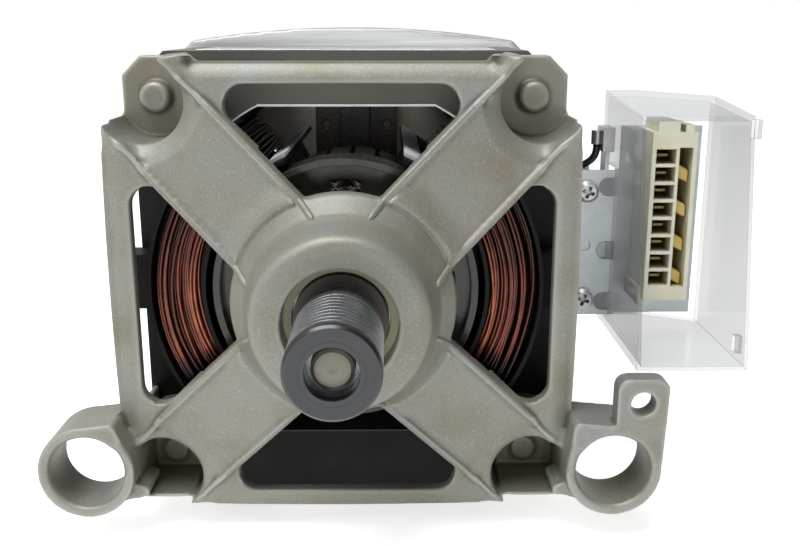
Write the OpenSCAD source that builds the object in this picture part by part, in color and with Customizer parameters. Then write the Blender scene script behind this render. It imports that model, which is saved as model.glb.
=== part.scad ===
// Belt-drive washing machine motor: an open brushed motor with a cast front shield on two mounting eyes,
// two field coils, a fan, a ribbed pulley and a plug socket under a clear hood.
// The shaft runs along Y. The origin is on the shaft axis in the middle plane of the belt, Z is up.

/* [Pulley] */
// Outside diameter of the pulley over the rib crests
pulley_d = 20.4; // [19.6:0.1:22]
// Number of belt ribs
rib_count = 8; // [6:1:9]
// Distance from one rib to the next
rib_pitch = 2.34; // [2.2:0.02:2.5]
// Flat width of a rib crest
rib_crest = 0.7; // [0.5:0.05:0.9]
// Flat width of a groove bottom
rib_root = 0.3; // [0.2:0.05:0.5]
// Depth of a groove
rib_depth = 1.8; // [1.4:0.1:2.2]
// Length of the plain land at the front
front_land = 2.3; // [1.5:0.1:3.5]
// Length of the plain land behind the ribs
rear_land = 3; // [2:0.1:4]
// Diameter of the neck behind the lands
neck_d = 17.2; // [16:0.1:18.4]
// Diameter of the recess in the front end
recess_d = 11.3; // [10.5:0.1:12.5]
// Depth of the recess in the front end
recess_depth = 6; // [4:0.5:9]
// Diameter of the spacer collar between pulley and bearing
collar_d = 22.6; // [20:0.1:23]
// Length of the spacer collar
collar_len = 4.3; // [3:0.1:6]

/* [Front shield] */
// Belt plane to the front face of the mounting eyes
belt_to_eye = 35; // [33:0.5:40]
// Eye face to the front face of the frame
frame_setback = 7.4; // [6:0.2:9]
// Frame face to the stator
shield_depth = 25.6; // [24:0.2:30]
// Shaft axis down to the bowed bottom of the frame
frame_half = 58; // [57:0.5:61]
// How much further out the left and right sides of the frame stand than its bottom
side_rise = 1.4; // [0.6:0.1:2]
// How much further out the top of the frame stands than its bottom
top_rise = 2.8; // [1.5:0.1:3.5]
// How far each side bows out
frame_bow = 1.4; // [0.8:0.1:2]
// Width of the frame bars
bar_w = 4.8; // [4:0.2:6.5]
// Thickness of the frame bars
bar_t = 4; // [3:0.2:6]
// Height of the notch along the top bar
bar_notch = 2.2; // [1:0.1:2.8]
// Corner cut: largest x plus z of the frame, from the middle of its height
frame_corner = 102; // [100:0.5:103]
// Width of the diagonal arms
arm_w = 24.4; // [22:0.2:26]
// Thickness of the arms
arm_t = 4.6; // [3.8:0.1:5.5]
// How far the arms rise toward the hub
arm_rise = 7; // [4:0.2:8]
// Width of the raised lip along an arm edge
lip_w = 1.6; // [0.8:0.1:2]
// Height of the raised lip
lip_h = 0.8; // [0.4:0.1:1.2]
// Arm edge to the raised lip
lip_inset = 0.2; // [0.2:0.1:1]
// Fillet radius in the window corners
window_r = 5.2; // [3.5:0.1:6.5]
// Diameter of the hub at the arms
hub_base_d = 56.2; // [53:0.2:58]
// Diameter of the hub at its face
hub_face_d = 43; // [41:0.2:46]
// How far the hub face stands ahead of the eye face
hub_proud = 17.2; // [15:0.1:18]
// Diameter of the opening in the hub face
hub_bore_d = 27.4; // [27:0.1:29]

/* [Corner screws] */
// Side of the square that the corner screws stand on
screw_square = 98; // [96:0.5:100]
// Diameter of the pocket round each screw boss
pocket_d = 21; // [18:0.5:22]
// Wall round the pocket
pocket_wall = 2.8; // [2:0.1:3.5]
// Thickness of the lug under each boss
lug_t = 5; // [4:0.5:7]
// Half width of the frame over the lugs
lug_half = 58; // [56:0.5:60]
// Diameter of a screw boss
boss_d = 8.2; // [7.6:0.1:9.5]
// Height of a screw boss above its lug
boss_h = 4; // [3:0.2:6]
// Thread diameter of the corner screws
screw_d = 5; // [4:0.1:5.4]
// Head diameter of the corner screws
screw_head_d = 9.4; // [8:0.2:11]

/* [Mounting eyes] */
// Bore of the mounting eyes
eye_bore = 19.2; // [18:0.1:20.5]
// Wall round the bore
eye_wall = 2.75; // [2:0.05:3.5]
// Length of the eyes
eye_len = 16; // [13:0.5:20]
// Side of the frame to the left eye
left_eye_out = 8.8; // [7:0.2:12]
// Side of the frame to the right eye
right_eye_out = 11.2; // [9:0.2:14]
// Shaft axis down to the eyes
eye_drop = 44.6; // [42:0.2:47]
// Radius of the shoulder that ties an eye to the frame
shoulder_r = 1.8; // [1.2:0.1:3]
// Side of the frame to the middle of the shoulders
shoulder_out = 2.2; // [1.6:0.2:3]
// Shaft axis down to the middle of the shoulders
shoulder_drop = 33.2; // [32.4:0.2:34]
// Width of the ear on the right eye
ear_w = 13.2; // [11:0.2:15]
// Shaft axis down to the top of the ear
ear_top_drop = 19.6; // [17:0.2:22]
// Hole in the ear
ear_hole = 6.3; // [5:0.1:7]
// Thickness of the ear
ear_t = 6; // [4:0.2:9]
// Corner radius of the ear
ear_r = 3; // [2:0.2:4]

/* [Stator] */
// Length of the lamination stack
stack_len = 48; // [44:1:60]
// Width of the laminations
stator_w = 114; // [112:0.5:115]
// Top of the laminations above the axis
stator_top = 60.4; // [59.4:0.2:62.4]
// Bottom of the laminations below the axis
stator_drop = 65; // [61:0.5:68]
// Corner cut: largest x plus z of the laminations
stator_corner = 108.5; // [107:0.5:112]
// Outside radius of the coil slots
slot_r = 52.3; // [51.5:0.1:53]
// Height of the flat yoke opening above the axis
slot_flat = 46.6; // [45.8:0.2:48]
// Thickness of a pole shoe
shoe_t = 5.8; // [4:0.1:6.2]
// Half angle of a pole shoe
shoe_angle = 62; // [56:1:66]
// Half angle of a pole neck
neck_angle = 38; // [34:0.5:39]
// Air gap between armature and pole shoes
air_gap = 0.6; // [0.4:0.05:1]
// Thickness of the slot liner film
liner_t = 0.4; // [0.3:0.05:0.5]
// How far the film stands out of the stack
liner_proud = 2.5; // [1.5:0.1:3.5]
// Width of the bare plate on top of the stack
label_w = 80; // [50:1:90]
// Length of the bare plate on top of the stack
label_len = 42; // [30:1:44]
// Thickness of the bare plate on top of the stack
label_t = 0.3; // [0.2:0.05:0.6]

/* [Field coils] */
// Wire diameter of the drawn loops
wire_d = 1.15; // [0.9:0.05:1.2]
// Loops of each coil, in two layers
loop_count = 12; // [8:2:12]
// Inner radius of the wound space
wind_r = 38.6; // [38.4:0.1:39.2]
// Radial step from loop to loop
wind_step = 1.72; // [1.65:0.01:1.76]
// Step from layer to layer
layer_step = 2.3; // [2:0.1:2.6]
// Half angle of the inner layer
wind_angle = 48; // [47.5:0.1:49]
// Half angle that the bobbin core fills
core_angle = 44.6; // [42:0.2:45]
// How far the bobbin core stands out of the stack
core_proud = 12.6; // [10:0.2:13]
// How far the inner layer stands out of the stack
wind_proud = 15; // [14.6:0.1:15.4]
// Corner length of a loop
wind_corner = 4; // [2:0.5:5]
// Inner radius of the bobbin
bobbin_r = 36.3; // [36.2:0.1:36.6]
// Flange thickness of the bobbin
flange_t = 1.1; // [0.8:0.1:1.2]
// Outer radius of the bobbin
bobbin_out_r = 51.6; // [51.2:0.1:51.7]
// How far the bobbin flanges stand out of the stack
flange_proud = 18.5; // [17.5:0.5:19]
// Half angle of the inner flange
flange_angle = 66; // [62:1:68]
// Half angle of the outer flange
outer_flange_angle = 57; // [50:1:58]
// Height of the lead block beside each coil
lead_block_h = 15; // [10:1:20]
// Length of the lead block along the shaft
lead_block_len = 9; // [6:0.5:12]
// How far the lead block reaches past the laminations
lead_block_out = 3; // [2:0.5:5]

/* [Shaft and armature] */
// Diameter of the shaft in the pulley
shaft_tip_d = 9; // [8:0.1:9.6]
// Diameter of the shaft in the armature
shaft_d = 17; // [16.2:0.1:18]
// Diameter of the shaft at its rear end
shaft_rear_d = 8; // [6:0.1:9]
// Diameter of the armature
armature_d = 59.2; // [58.8:0.1:59.4]
// Number of armature slots
slot_count = 24; // [18:2:26]
// Diameter of an armature slot
armature_slot_d = 4.4; // [3.6:0.1:4.6]
// Opening of an armature slot
armature_slot_w = 1.6; // [1:0.1:2]
// Outside diameter of the winding heads
winding_d = 54; // [48:0.5:56]
// Length of each winding head
winding_len = 6.4; // [5:0.2:7]
// Outside diameter of the fan
fan_d = 69; // [64:0.5:70]
// Length of the fan
fan_len = 11; // [9:0.5:12]
// Wall of the fan rim
fan_rim = 1.8; // [1.2:0.1:2.4]
// Number of fan blades
blade_count = 16; // [12:1:20]
// Thickness of a fan blade
blade_t = 1.5; // [1:0.1:2]

/* [Bearings] */
// Bore of the front bearing
front_bore = 15; // [14.6:0.1:15.4]
// Outside diameter of the front bearing
front_od = 35; // [34.4:0.1:35.6]
// Width of the front bearing
front_w = 11; // [10:0.5:12]
// Bore of the rear bearing
rear_bore = 12; // [11.6:0.1:12.4]
// Outside diameter of the rear bearing
rear_od = 32; // [31.4:0.1:32.6]
// Width of the rear bearing
rear_w = 10; // [9:0.5:11]
// Ball diameter
ball_d = 5.6; // [5:0.1:5.8]
// Balls in each bearing
ball_count = 8; // [6:1:8]

/* [Brushes] */
// Diameter of the commutator
commutator_d = 32; // [30:0.2:33]
// Length of the commutator bars
commutator_len = 18; // [16:0.5:20]
// Number of commutator bars
bar_count = 24; // [18:2:30]
// Gap between commutator bars
bar_gap = 0.6; // [0.4:0.05:0.9]
// Brush thickness across the shaft
brush_t = 6.4; // [5:0.1:7]
// Brush width along the shaft
brush_w = 10; // [8:0.2:11]
// Brush length
brush_len = 19.6; // [18:0.2:21]
// Room behind the brush for its spring
spring_room = 8; // [6:0.2:8.4]
// Wall of a brush holder
holder_wall = 1.4; // [1:0.1:1.8]
// Foot width of a brush holder
foot_w = 28; // [26:0.5:29]
// Thread diameter of the holder screws
holder_screw_d = 2.9; // [2.5:0.1:3.4]

/* [Rear shield] */
// Thickness of the rear rim
rim_t = 7; // [6:0.5:9]
// Height of the arched top of the rim above the axis
rim_top = 66.4; // [64:0.2:68]
// Radius of the arched top
rim_arch_r = 315; // [250:5:400]
// Outside radius of the cup behind the rim
cup_r = 57; // [56.5:0.1:58]
// Wall of the cup
cup_wall = 3.6; // [3:0.2:4.4]
// Rim to the inside of the end plate
cup_depth = 24; // [24:0.5:26]
// Thickness of the end plate
end_t = 4; // [3:0.2:6]
// Width of the cup windows
cup_window = 44; // [36:1:48]
// Diameter of the rear hub
rear_hub_d = 40; // [38:0.5:43]
// Wall behind the rear bearing
rear_hub_wall = 3; // [2:0.2:4]
// Thickness of the wave washer
washer_t = 0.8; // [0.5:0.1:1.2]

/* [Speed sensor] */
// Diameter of the sensor magnet
magnet_d = 17; // [14:0.5:18]
// Length of the sensor magnet
magnet_len = 6; // [5:0.5:8]
// Inside diameter of the sensor coil
sensor_in_d = 19; // [18.6:0.2:21]
// Outside diameter of the sensor coil
sensor_d = 31; // [28:0.5:32]
// Wall of the sensor cap
cap_wall = 1.2; // [0.8:0.1:2]

/* [Plug socket] */
// Side of the frame to the two bracket screws
bracket_screw_out = 12.2; // [11:0.2:14]
// Height of the upper bracket screw
upper_screw_z = 19.2; // [17:0.2:21]
// Height of the lower bracket screw
lower_screw_z = -13.8; // [-15:0.2:-12]
// Thickness of the bracket sheet
sheet_t = 1.2; // [0.8:0.1:1.5]
// Frame face to the bracket
bracket_setback = 47.6; // [46:0.2:50]
// Top of the bracket
bracket_top = 25.5; // [24.8:0.1:27]
// Bottom of the bracket
bracket_bottom = -19; // [-21:0.2:-18.6]
// Bracket screws to the left edge of the bracket
bracket_edge = 8.2; // [6:0.2:9]
// Bracket screws to the place where the bracket steps back
bracket_front_w = 9.8; // [9.4:0.1:10.8]
// Depth of that step
bracket_step = 2.4; // [1.6:0.1:3]
// Width of the bracket behind the step
bracket_back_w = 23.8; // [19:0.2:23.8]
// Thread diameter of the bracket screws
bracket_screw_d = 3.5; // [3:0.1:4]
// Head diameter of the bracket screws
bracket_head_d = 6.6; // [6:0.1:7]
// Number of plug contacts
contact_count = 8; // [6:1:8]
// Distance from contact to contact
contact_pitch = 5; // [4.8:0.05:5.05]
// Left side of the hood to the socket housing
socket_gap = 6.5; // [5:0.1:8]
// Height of the middle of the contact row
socket_mid_z = 14; // [13:0.2:15]
// Width of the socket housing
socket_w = 12.6; // [12:0.1:14]
// Length of the socket housing along the shaft
socket_len = 18; // [15:0.5:20]
// Wall of the socket housing
socket_wall = 1.2; // [1:0.1:1.5]
// Depth of the contact cells
cell_depth = 14; // [10:0.5:14]

/* [Hood] */
// Bracket screws to the left side of the hood
hood_out = 7.8; // [7.4:0.1:8.4]
// Width of the hood
hood_w = 30; // [27:0.5:34]
// Lowest contact cell to the bottom of the hood
hood_below = 17.4; // [16:0.2:20]
// Highest contact cell to the top of the hood at its front
hood_above = 9.7; // [9.2:0.1:12]
// How far the top rises toward the back
hood_top_rise = 4; // [2:0.5:6]
// Frame face to the lower front edge
hood_front = 9.6; // [6:0.2:14]
// How far the top front edge stands back
hood_rake = 11; // [6:0.5:14]
// Length of the hood along its bottom
hood_len = 55; // [52:0.5:60]
// Wall of the hood
hood_wall = 1.1; // [0.8:0.1:1.5]

/* [Hidden] */

$fn = 96;
cut = 1;
fit = 0.03;
slack = 0.1;
soft_gap = 0.3;
tuck = 0.04;
collar_recess = 4.4;
bearing_inset = 3;
lug_cut = 3.6;
tab_out = 4.8;

// Stations along the shaft
rib_half = (rib_count - 1) / 2 * rib_pitch;
land_edge = rib_half + rib_pitch - rib_crest / 2;
pulley_front = -land_edge - front_land;
neck_front = land_edge + rear_land;
hub_face_y = belt_to_eye - hub_proud;
frame_y = belt_to_eye + frame_setback;
stack_y = frame_y + shield_depth;
stack_end = stack_y + stack_len;
lug_y = stack_y - lug_t;
collar_y = hub_face_y + collar_recess;
front_bearing_y = collar_y + collar_len;
end_y = stack_end + rim_t + cup_depth;
rear_bearing_y = end_y + bearing_inset;
washer_y = rear_bearing_y + rear_w;
rear_hub_end = washer_y + washer_t + rear_hub_wall;
bracket_y = frame_y + bracket_setback;

// Places across the motor, counted from the side of the frame
left_eye_x = frame_half + left_eye_out;
right_eye_x = frame_half + right_eye_out;
shoulder_x = frame_half + shoulder_out;
bracket_screw_x = frame_half + bracket_screw_out;
bracket_left = bracket_screw_x - bracket_edge;
bracket_step_x = bracket_screw_x + bracket_front_w;
bracket_right = bracket_step_x + bracket_back_w;
tab_x = bracket_screw_x + tab_out;
hood_left = bracket_screw_x + hood_out;
hood_right = hood_left + hood_w;
socket_left = hood_left + socket_gap;

// Heights of the plug socket
cell_top = socket_mid_z + contact_count * contact_pitch / 2;
cells_z = socket_mid_z - contact_count * contact_pitch / 2;
hood_top = cell_top + hood_above;
hood_bottom = cells_z - hood_below;

screw_at = screw_square / 2;
corners = [[1, 1], [-1, 1], [-1, -1], [1, -1]];

// Solid from y to y + len over a drawing in x and z
module slab(y, len) {
    translate([0, y + len, 0]) rotate([90, 0, 0]) linear_extrude(len) children();
}

// Solid turned round the shaft axis from a drawing of radius and y
module turned() {
    rotate([-90, 0, 0]) rotate_extrude() children();
}

// Round rod along y
module rod(y, len, d) {
    translate([0, y, 0]) rotate([-90, 0, 0]) cylinder(h = len, d = d);
}

// Round ring along y
module ring(y, len, d_out, d_in) {
    difference() {
        rod(y, len, d_out);
        rod(y - cut, len + 2 * cut, d_in);
    }
}

// Wedge of the given half angle round the side toward +x
module wedge(half_angle, reach) {
    polygon([[0, 0], [reach, reach * tan(half_angle)], [reach, -reach * tan(half_angle)]]);
}

// Part of a ring within the given half angle
module arc_band(r_in, r_out, half_angle) {
    intersection() {
        difference() {
            circle(r_out);
            circle(r_in);
        }
        wedge(half_angle, 2 * r_out);
    }
}

// Two circles joined along their outer tangents
module tangent_pair(a, ra, b, rb) {
    d = norm(b - a);
    along = atan2(b[1] - a[1], b[0] - a[0]);
    lean = acos((ra - rb) / d);
    function at(c, r, turn) = c + (r - tuck) * [cos(along + turn), sin(along + turn)];
    translate(a) circle(ra);
    translate(b) circle(rb);
    polygon([at(a, ra, lean), at(b, rb, lean), at(b, rb, -lean), at(a, ra, -lean)]);
}

// Front shield

bow_r = (frame_half * frame_half + frame_bow * frame_bow) / (2 * frame_bow);
arm_edge = arm_w / sqrt(2);
window_top = frame_half - bar_w;
frame_top = frame_half + top_rise;
notch_in = 3.5;
notch_half = screw_at - pocket_d / 2 - notch_in;
fillet_x = window_top - window_r - arm_edge - window_r * sqrt(2);
fillet_z = window_top - window_r;
arm_overlap = 3;
arm_inner = hub_base_d / 2 - arm_overlap;
arm_outer = screw_at * sqrt(2) - pocket_d / 2 + arm_overlap;
arm_slope = atan(arm_rise / (arm_outer - arm_inner));
left_eye = [-left_eye_x, -eye_drop];
right_eye = [right_eye_x, -eye_drop];
eye_r = eye_bore / 2 + eye_wall;
ear_shift = 0.8;
ear_left = right_eye_x + eye_r + ear_shift - ear_w;
ear_hole_at = [ear_left + ear_w / 2, -ear_top_drop - ear_w / 2];
eye_chamfer = 0.8;
foot_z = eye_drop + eye_r;
boss_clear = 1;
floor_rise = boss_h - boss_clear;
hub_rear_len = 4;
hub_rear_wall = 4.5;
hub_rear_y = front_bearing_y + front_w + hub_rear_len;
hub_rear_d = front_od + 2 * hub_rear_wall;
post_setback = 0.8;
boss_round = 1;
boss_draft = 0.2;
boss_skin = 2.5;
tip_room = 0.5;

module frame_outline() {
    intersection() {
        bowed_square();
        translate([0, top_rise / 2]) rotate(45) square(frame_corner * sqrt(2), center = true);
    }
}

module bowed_square() {
    reach = [frame_half + side_rise, frame_top, frame_half + side_rise, frame_half];
    intersection_for(i = [0:3]) rotate(90 * i)
        translate([reach[i] - bow_r, 0]) circle(bow_r, $fn = 400);
}

// One window, above the hub
module window() {
    side_in = (window_r - tuck) / sqrt(2);
    difference() {
        union() {
            polygon([[-fillet_x, window_top - tuck], [fillet_x, window_top - tuck],
                     [fillet_x + side_in, fillet_z - side_in], [0, arm_edge + 2 * tuck],
                     [-fillet_x - side_in, fillet_z - side_in]]);
            for (side = [-1, 1]) translate([side * fillet_x, fillet_z]) circle(window_r);
        }
        circle(d = hub_base_d);
    }
}

module frame_plate() {
    difference() {
        slab(frame_y, bar_t) difference() {
            frame_outline();
            for (i = [0:3]) rotate(90 * i) window();
            circle(window_top - 2 * window_r);
        }
        slab(frame_y - cut, bar_t + 2 * cut) top_notch();
    }
}

// The low part of the top edge, between two slopes of 45 degrees
module top_notch() {
    depth = bar_notch + cut;
    foot = frame_top - bar_notch;
    polygon([[-notch_half, foot], [notch_half, foot],
             [notch_half + depth, foot + depth], [-notch_half - depth, foot + depth]]);
}

// One sloping arm toward +x
module arm() {
    len = (arm_outer - arm_inner) / cos(arm_slope);
    translate([arm_inner, frame_y - arm_rise, 0]) rotate([0, 0, arm_slope]) {
        translate([0, 0, -arm_w / 2]) cube([len, arm_t, arm_w]);
        arm_lips(len);
    }
}

// The two lips of an arm toward +x
module arm_lips(len) {
    for (side = [-1, 1]) translate([0, -lip_h, side * (arm_w / 2 - lip_inset - lip_w / 2) - lip_w / 2])
        cube([len, lip_h + cut, lip_w]);
}

// The lips go on over the flat frame as far as its outline
module frame_lips() {
    intersection() {
        slab(frame_y - lip_h, lip_h + cut) frame_outline();
        for (i = [0:3]) rotate([0, 45 + 90 * i, 0])
            translate([arm_outer, frame_y, 0]) arm_lips(frame_half);
    }
}

module hub_solid() {
    base_r = hub_base_d / 2;
    face_r = hub_face_d / 2;
    edge = 2.2;
    edge_mid = 0.3 * edge;
    base_round = 0.5;
    waist_len = 3;
    waist_step = 1.1;
    waist_y = belt_to_eye - 4.5;
    waist_r = face_r + 1.4;
    step_y = frame_y - arm_rise + arm_t;
    turned() difference() {
        polygon([[0, hub_face_y], [face_r - edge, hub_face_y], [face_r - edge_mid, hub_face_y + edge_mid],
                 [face_r, hub_face_y + edge], [waist_r, waist_y - waist_len], [waist_r + waist_step, waist_y],
                 [base_r - 2 * base_round, belt_to_eye - base_round], [base_r, belt_to_eye + base_round],
                 [base_r, step_y], [hub_rear_d / 2, step_y], [hub_rear_d / 2, hub_rear_y], [0, hub_rear_y]]);
        square([hub_bore_d / 2, front_bearing_y]);
        translate([0, front_bearing_y]) square([front_od / 2, hub_rear_y]);
    }
}

// Half-round wall and lug round the corner screw on the +x +z side
module corner_post(at_top) {
    lug_rise = at_top ? top_rise / 2 : 0;
    slab(frame_y + post_setback, stack_y - frame_y - post_setback) intersection() {
        translate([screw_at, screw_at]) difference() {
            circle(d = pocket_d + 2 * pocket_wall);
            circle(d = pocket_d);
        }
        scale([1, at_top ? 1 : -1]) frame_outline();
    }
    slab(lug_y, lug_t) intersection() {
        translate([screw_at, screw_at]) {
            circle(d = pocket_d + 2 * pocket_wall);
            square(pocket_d);
        }
        square([lug_half, lug_half + lug_rise]);
        rotate(45) square((2 * lug_half - lug_cut) * sqrt(2), center = true);
    }
    translate([screw_at, 0, screw_at]) turned()
        polygon([[0, lug_y - boss_h], [boss_d / 2 - boss_round, lug_y - boss_h],
                 [boss_d / 2 - boss_draft, lug_y - boss_h + boss_round - boss_draft],
                 [boss_d / 2, lug_y], [boss_d / 2, lug_y + cut], [0, lug_y + cut]]);
}

module eye_lug(centre, side) {
    slab(belt_to_eye, eye_len) tangent_pair(centre, eye_r, [side * shoulder_x, -shoulder_drop], shoulder_r);
}

// Floor, side wall, bottom strip and web that tie an eye on the +x side to its corner
module eye_brace(eye_x) {
    wall_inset = 0.4;
    strip_edge = 1;
    web_overlap = 0.6;
    web_rise = 1.4;
    web_h = 2;
    web_lead = 3;
    web_y = (belt_to_eye + frame_y) / 2;
    wall_x = eye_x - eye_r + wall_inset;
    wall_t = eye_wall - eye_chamfer - wall_inset;
    web_x = wall_x - 2 * wall_t;
    strip_x = screw_at - pocket_d / 2 + pocket_wall;
    strip_top = pocket_wall - foot_z;
    edge_z = strip_top - strip_edge;
    slab(frame_y, stack_y - frame_y)
        translate([wall_x, edge_z]) square([wall_t, -shoulder_drop - edge_z]);
    translate([strip_x, 0, 0]) rotate([90, 0, 90]) linear_extrude(wall_x + wall_t - strip_x)
        polygon([[frame_y, edge_z], [stack_y, -foot_z], [stack_y, strip_top], [frame_y, strip_top]]);
    slab(web_y, belt_to_eye + eye_len - web_y) difference() {
        polygon([[web_x, strip_top + web_rise], [eye_x - web_lead, web_overlap - foot_z], [eye_x, -eye_drop],
                 [web_x, strip_top + web_rise + web_h]]);
        translate([eye_x, -eye_drop]) circle(eye_r - web_overlap);
    }
    slab(lug_y - floor_rise, floor_rise + cut) intersection() {
        translate([screw_at, -screw_at]) circle(d = pocket_d + pocket_wall);
        translate([strip_x, -foot_z]) square([wall_x - strip_x + wall_t, foot_z - shoulder_drop]);
    }
}

module eye_bore_cut(centre) {
    translate([centre[0], 0, centre[1]]) {
        rod(belt_to_eye - cut, eye_len + 2 * cut, eye_bore);
        for (face = [belt_to_eye, belt_to_eye + eye_len])
            translate([0, face, 0]) turned()
                polygon([[0, -eye_chamfer], [eye_bore / 2, -eye_chamfer], [eye_bore / 2 + eye_chamfer, 0],
                         [eye_bore / 2, eye_chamfer], [0, eye_chamfer]]);
    }
}

module ear() {
    ear_right = ear_left + ear_w;
    round_z = -ear_top_drop - ear_r;
    slab(belt_to_eye, ear_t) {
        polygon([[ear_left, -eye_drop], [right_eye_x + eye_r - tuck, -eye_drop], [ear_right, round_z],
                 [ear_left, round_z]]);
        translate([ear_left + ear_r, -eye_drop]) square([ear_w - 2 * ear_r, eye_drop - ear_top_drop]);
        for (x = [ear_left + ear_r, ear_right - ear_r]) translate([x, round_z]) circle(ear_r);
    }
}

module front_shield() {
    color([0.56, 0.56, 0.52]) difference() {
        union() {
            difference() {
                union() {
                    frame_plate();
                    for (i = [0:3]) rotate([0, 45 + 90 * i, 0]) arm();
                    frame_lips();
                }
                for (c = corners)
                    translate([c[0] * screw_at, 0, c[1] * screw_at])
                        rod(belt_to_eye - cut, stack_y - belt_to_eye, pocket_d);
            }
            hub_solid();
            eye_lug(left_eye, -1);
            eye_lug(right_eye, 1);
            ear();
            mirror([1, 0, 0]) eye_brace(left_eye_x);
            eye_brace(right_eye_x);
            for (c = corners) scale([c[0], 1, c[1]]) corner_post(c[1] > 0);
        }
        eye_bore_cut(left_eye);
        eye_bore_cut(right_eye);
        translate([ear_hole_at[0], 0, ear_hole_at[1]]) rod(belt_to_eye - cut, eye_len, ear_hole);
        for (c = corners)
            translate([c[0] * screw_at, 0, c[1] * screw_at])
                rod(screw_tip_y - tip_room, stack_y - screw_tip_y + cut, screw_d + 2 * slack);
    }
}

// Corner screws, from the rear rim into the front bosses

screw_tip_y = lug_y - boss_h + boss_skin;
rim_y = stack_end;
screw_head_h = 4;
hex_d = 4.6;
hex_depth = 2;

module through_screws() {
    head_y = rim_y + rim_t;
    color([0.72, 0.73, 0.74]) for (c = corners)
        translate([c[0] * screw_at, 0, c[1] * screw_at]) difference() {
            union() {
                rod(screw_tip_y, head_y - screw_tip_y + cut, screw_d);
                rod(head_y, screw_head_h, screw_head_d);
            }
            rod(head_y + screw_head_h - hex_depth, hex_depth + cut, hex_d, $fn = 6);
        }
}

// Stator

bore_r = armature_d / 2 + air_gap;

module lamination() {
    difference() {
        intersection() {
            translate([-stator_w / 2, -stator_drop]) square([stator_w, stator_drop + stator_top]);
            rotate(45) square(stator_corner * sqrt(2), center = true);
        }
        difference() {
            slot_space(slot_r, slot_flat);
            for (turn = [0, 180]) rotate(turn) {
                arc_band(bore_r, slot_r + cut, neck_angle);
                arc_band(bore_r, bore_r + shoe_t, shoe_angle);
            }
        }
        for (c = corners) translate(c * screw_at) circle(d = screw_d + 2 * soft_gap);
    }
}

module slot_space(r, flat) {
    intersection() {
        circle(r);
        square([2 * r, 2 * flat], center = true);
    }
}

module stator_core() {
    color([0.36, 0.35, 0.33]) slab(stack_y, stack_len) lamination();
}

// Film that lines the yoke side of the slots, and the strips that close the slots
module slot_liners() {
    film_gap = 4;
    strip_gap = 1.5;
    strip_t = 0.8;
    strip_start = outer_flange_angle + strip_gap;
    strip_middle = (strip_start + flange_angle) / 2;
    strip_r = bobbin_r + flange_t + slack;
    color("white") {
        slab(stack_y - liner_proud, stack_len + 2 * liner_proud) for (turn = [90, -90]) intersection() {
            difference() {
                slot_space(slot_r - slack, slot_flat - slack);
                slot_space(slot_r - slack - liner_t, slot_flat - slack - liner_t);
            }
            rotate(turn) wedge(90 - neck_angle - film_gap, 2 * slot_r);
        }
        slab(stack_y - core_proud, stack_len + 2 * core_proud) for (side = [-1, 1], up = [-1, 1])
            rotate(90 - 90 * side + up * strip_middle)
                arc_band(strip_r, strip_r + strip_t, (flange_angle - strip_start) / 2);
    }
}

// Bare plate on the flat top of the stack
module rating_plate() {
    color([0.82, 0.83, 0.85])
        translate([-label_w / 2, stack_y + (stack_len - label_len) / 2, stator_top])
            cube([label_w, label_len, label_t]);
}

// Field coils

layer_angle = layer_step / wind_r * 180 / PI;
inner_front = stack_y - wind_proud;
inner_rear = stack_end + wind_proud;
head_steps = 3;
corner_steps = 2;
half_steps = 2 * (head_steps + corner_steps + 1);
loop_steps = 2 * half_steps;
climb_turns = 0.5;
turn_top = loop_count / 2 + climb_turns / 2;
corner_cut = 1 - sqrt(0.5);
wire_sides = 6;
stop_half = 1.5;
points_total = loop_count * loop_steps;

function clamp(t) = max(0, min(1, t));
// Share of the climb from the inner to the outer layer after so many turns
function climb(turns) = clamp((turns - turn_top) / climb_turns + 0.5);
function wound_r(turns) = wind_r + wind_step * min(turns, 2 * turn_top - turns);
// Half a loop from the middle of the rear head to the middle of the front head: angle and y
function half_loop(k, top, front, rear, bend) =
    k > half_steps / 2 ? half_loop(half_steps - k, top, rear, front, bend)
    : k <= head_steps ? [k / head_steps * (top - bend), rear]
    : k < head_steps + corner_steps
        ? [top - bend * corner_cut, rear + sign(front - rear) * wind_corner * corner_cut]
    : k == head_steps + corner_steps ? [top, rear + sign(front - rear) * wind_corner]
    : [top, (front + rear) / 2];
function loop_point(i) =
    let (turns = i / loop_steps, c = climb(turns), r = wound_r(turns), k = i % loop_steps,
         top = wind_angle + c * layer_angle, bend = wind_corner / r * 180 / PI,
         front = inner_front - c * layer_step, rear = inner_rear + c * layer_step,
         p = half_loop(k <= half_steps ? k : loop_steps - k, top, front, rear, bend),
         a = k <= half_steps ? p[0] : -p[0])
    [r * cos(a), p[1], r * sin(a)];
// The two ends run straight out of the stop beside the inner flange
function coil_route() = concat(
    [[wind_r, inner_rear, stop_half + fit], [wind_r, inner_rear, stop_half + fit + wire_d]],
    [for (i = [1:points_total - 1]) loop_point(i)],
    [[wound_r(loop_count), inner_rear + layer_step, -stop_half - fit - wire_d],
     [wound_r(loop_count), inner_rear + layer_step, -stop_half - fit]]);

function unit(v) = v / norm(v);
// Ring of points round point i of a route, squared to the route
function route_ring(route, i, d, sides, up) =
    let (last = len(route) - 1, t = unit(route[min(i + 1, last)] - route[max(i - 1, 0)]),
         u = unit(up - t * (up * t)), v = cross(t, u))
    [for (s = [0:sides - 1]) route[i] + d / 2 * (cos(360 * s / sides) * u + sin(360 * s / sides) * v)];
function radial(p) = [p[0], 0, p[2]];

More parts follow.
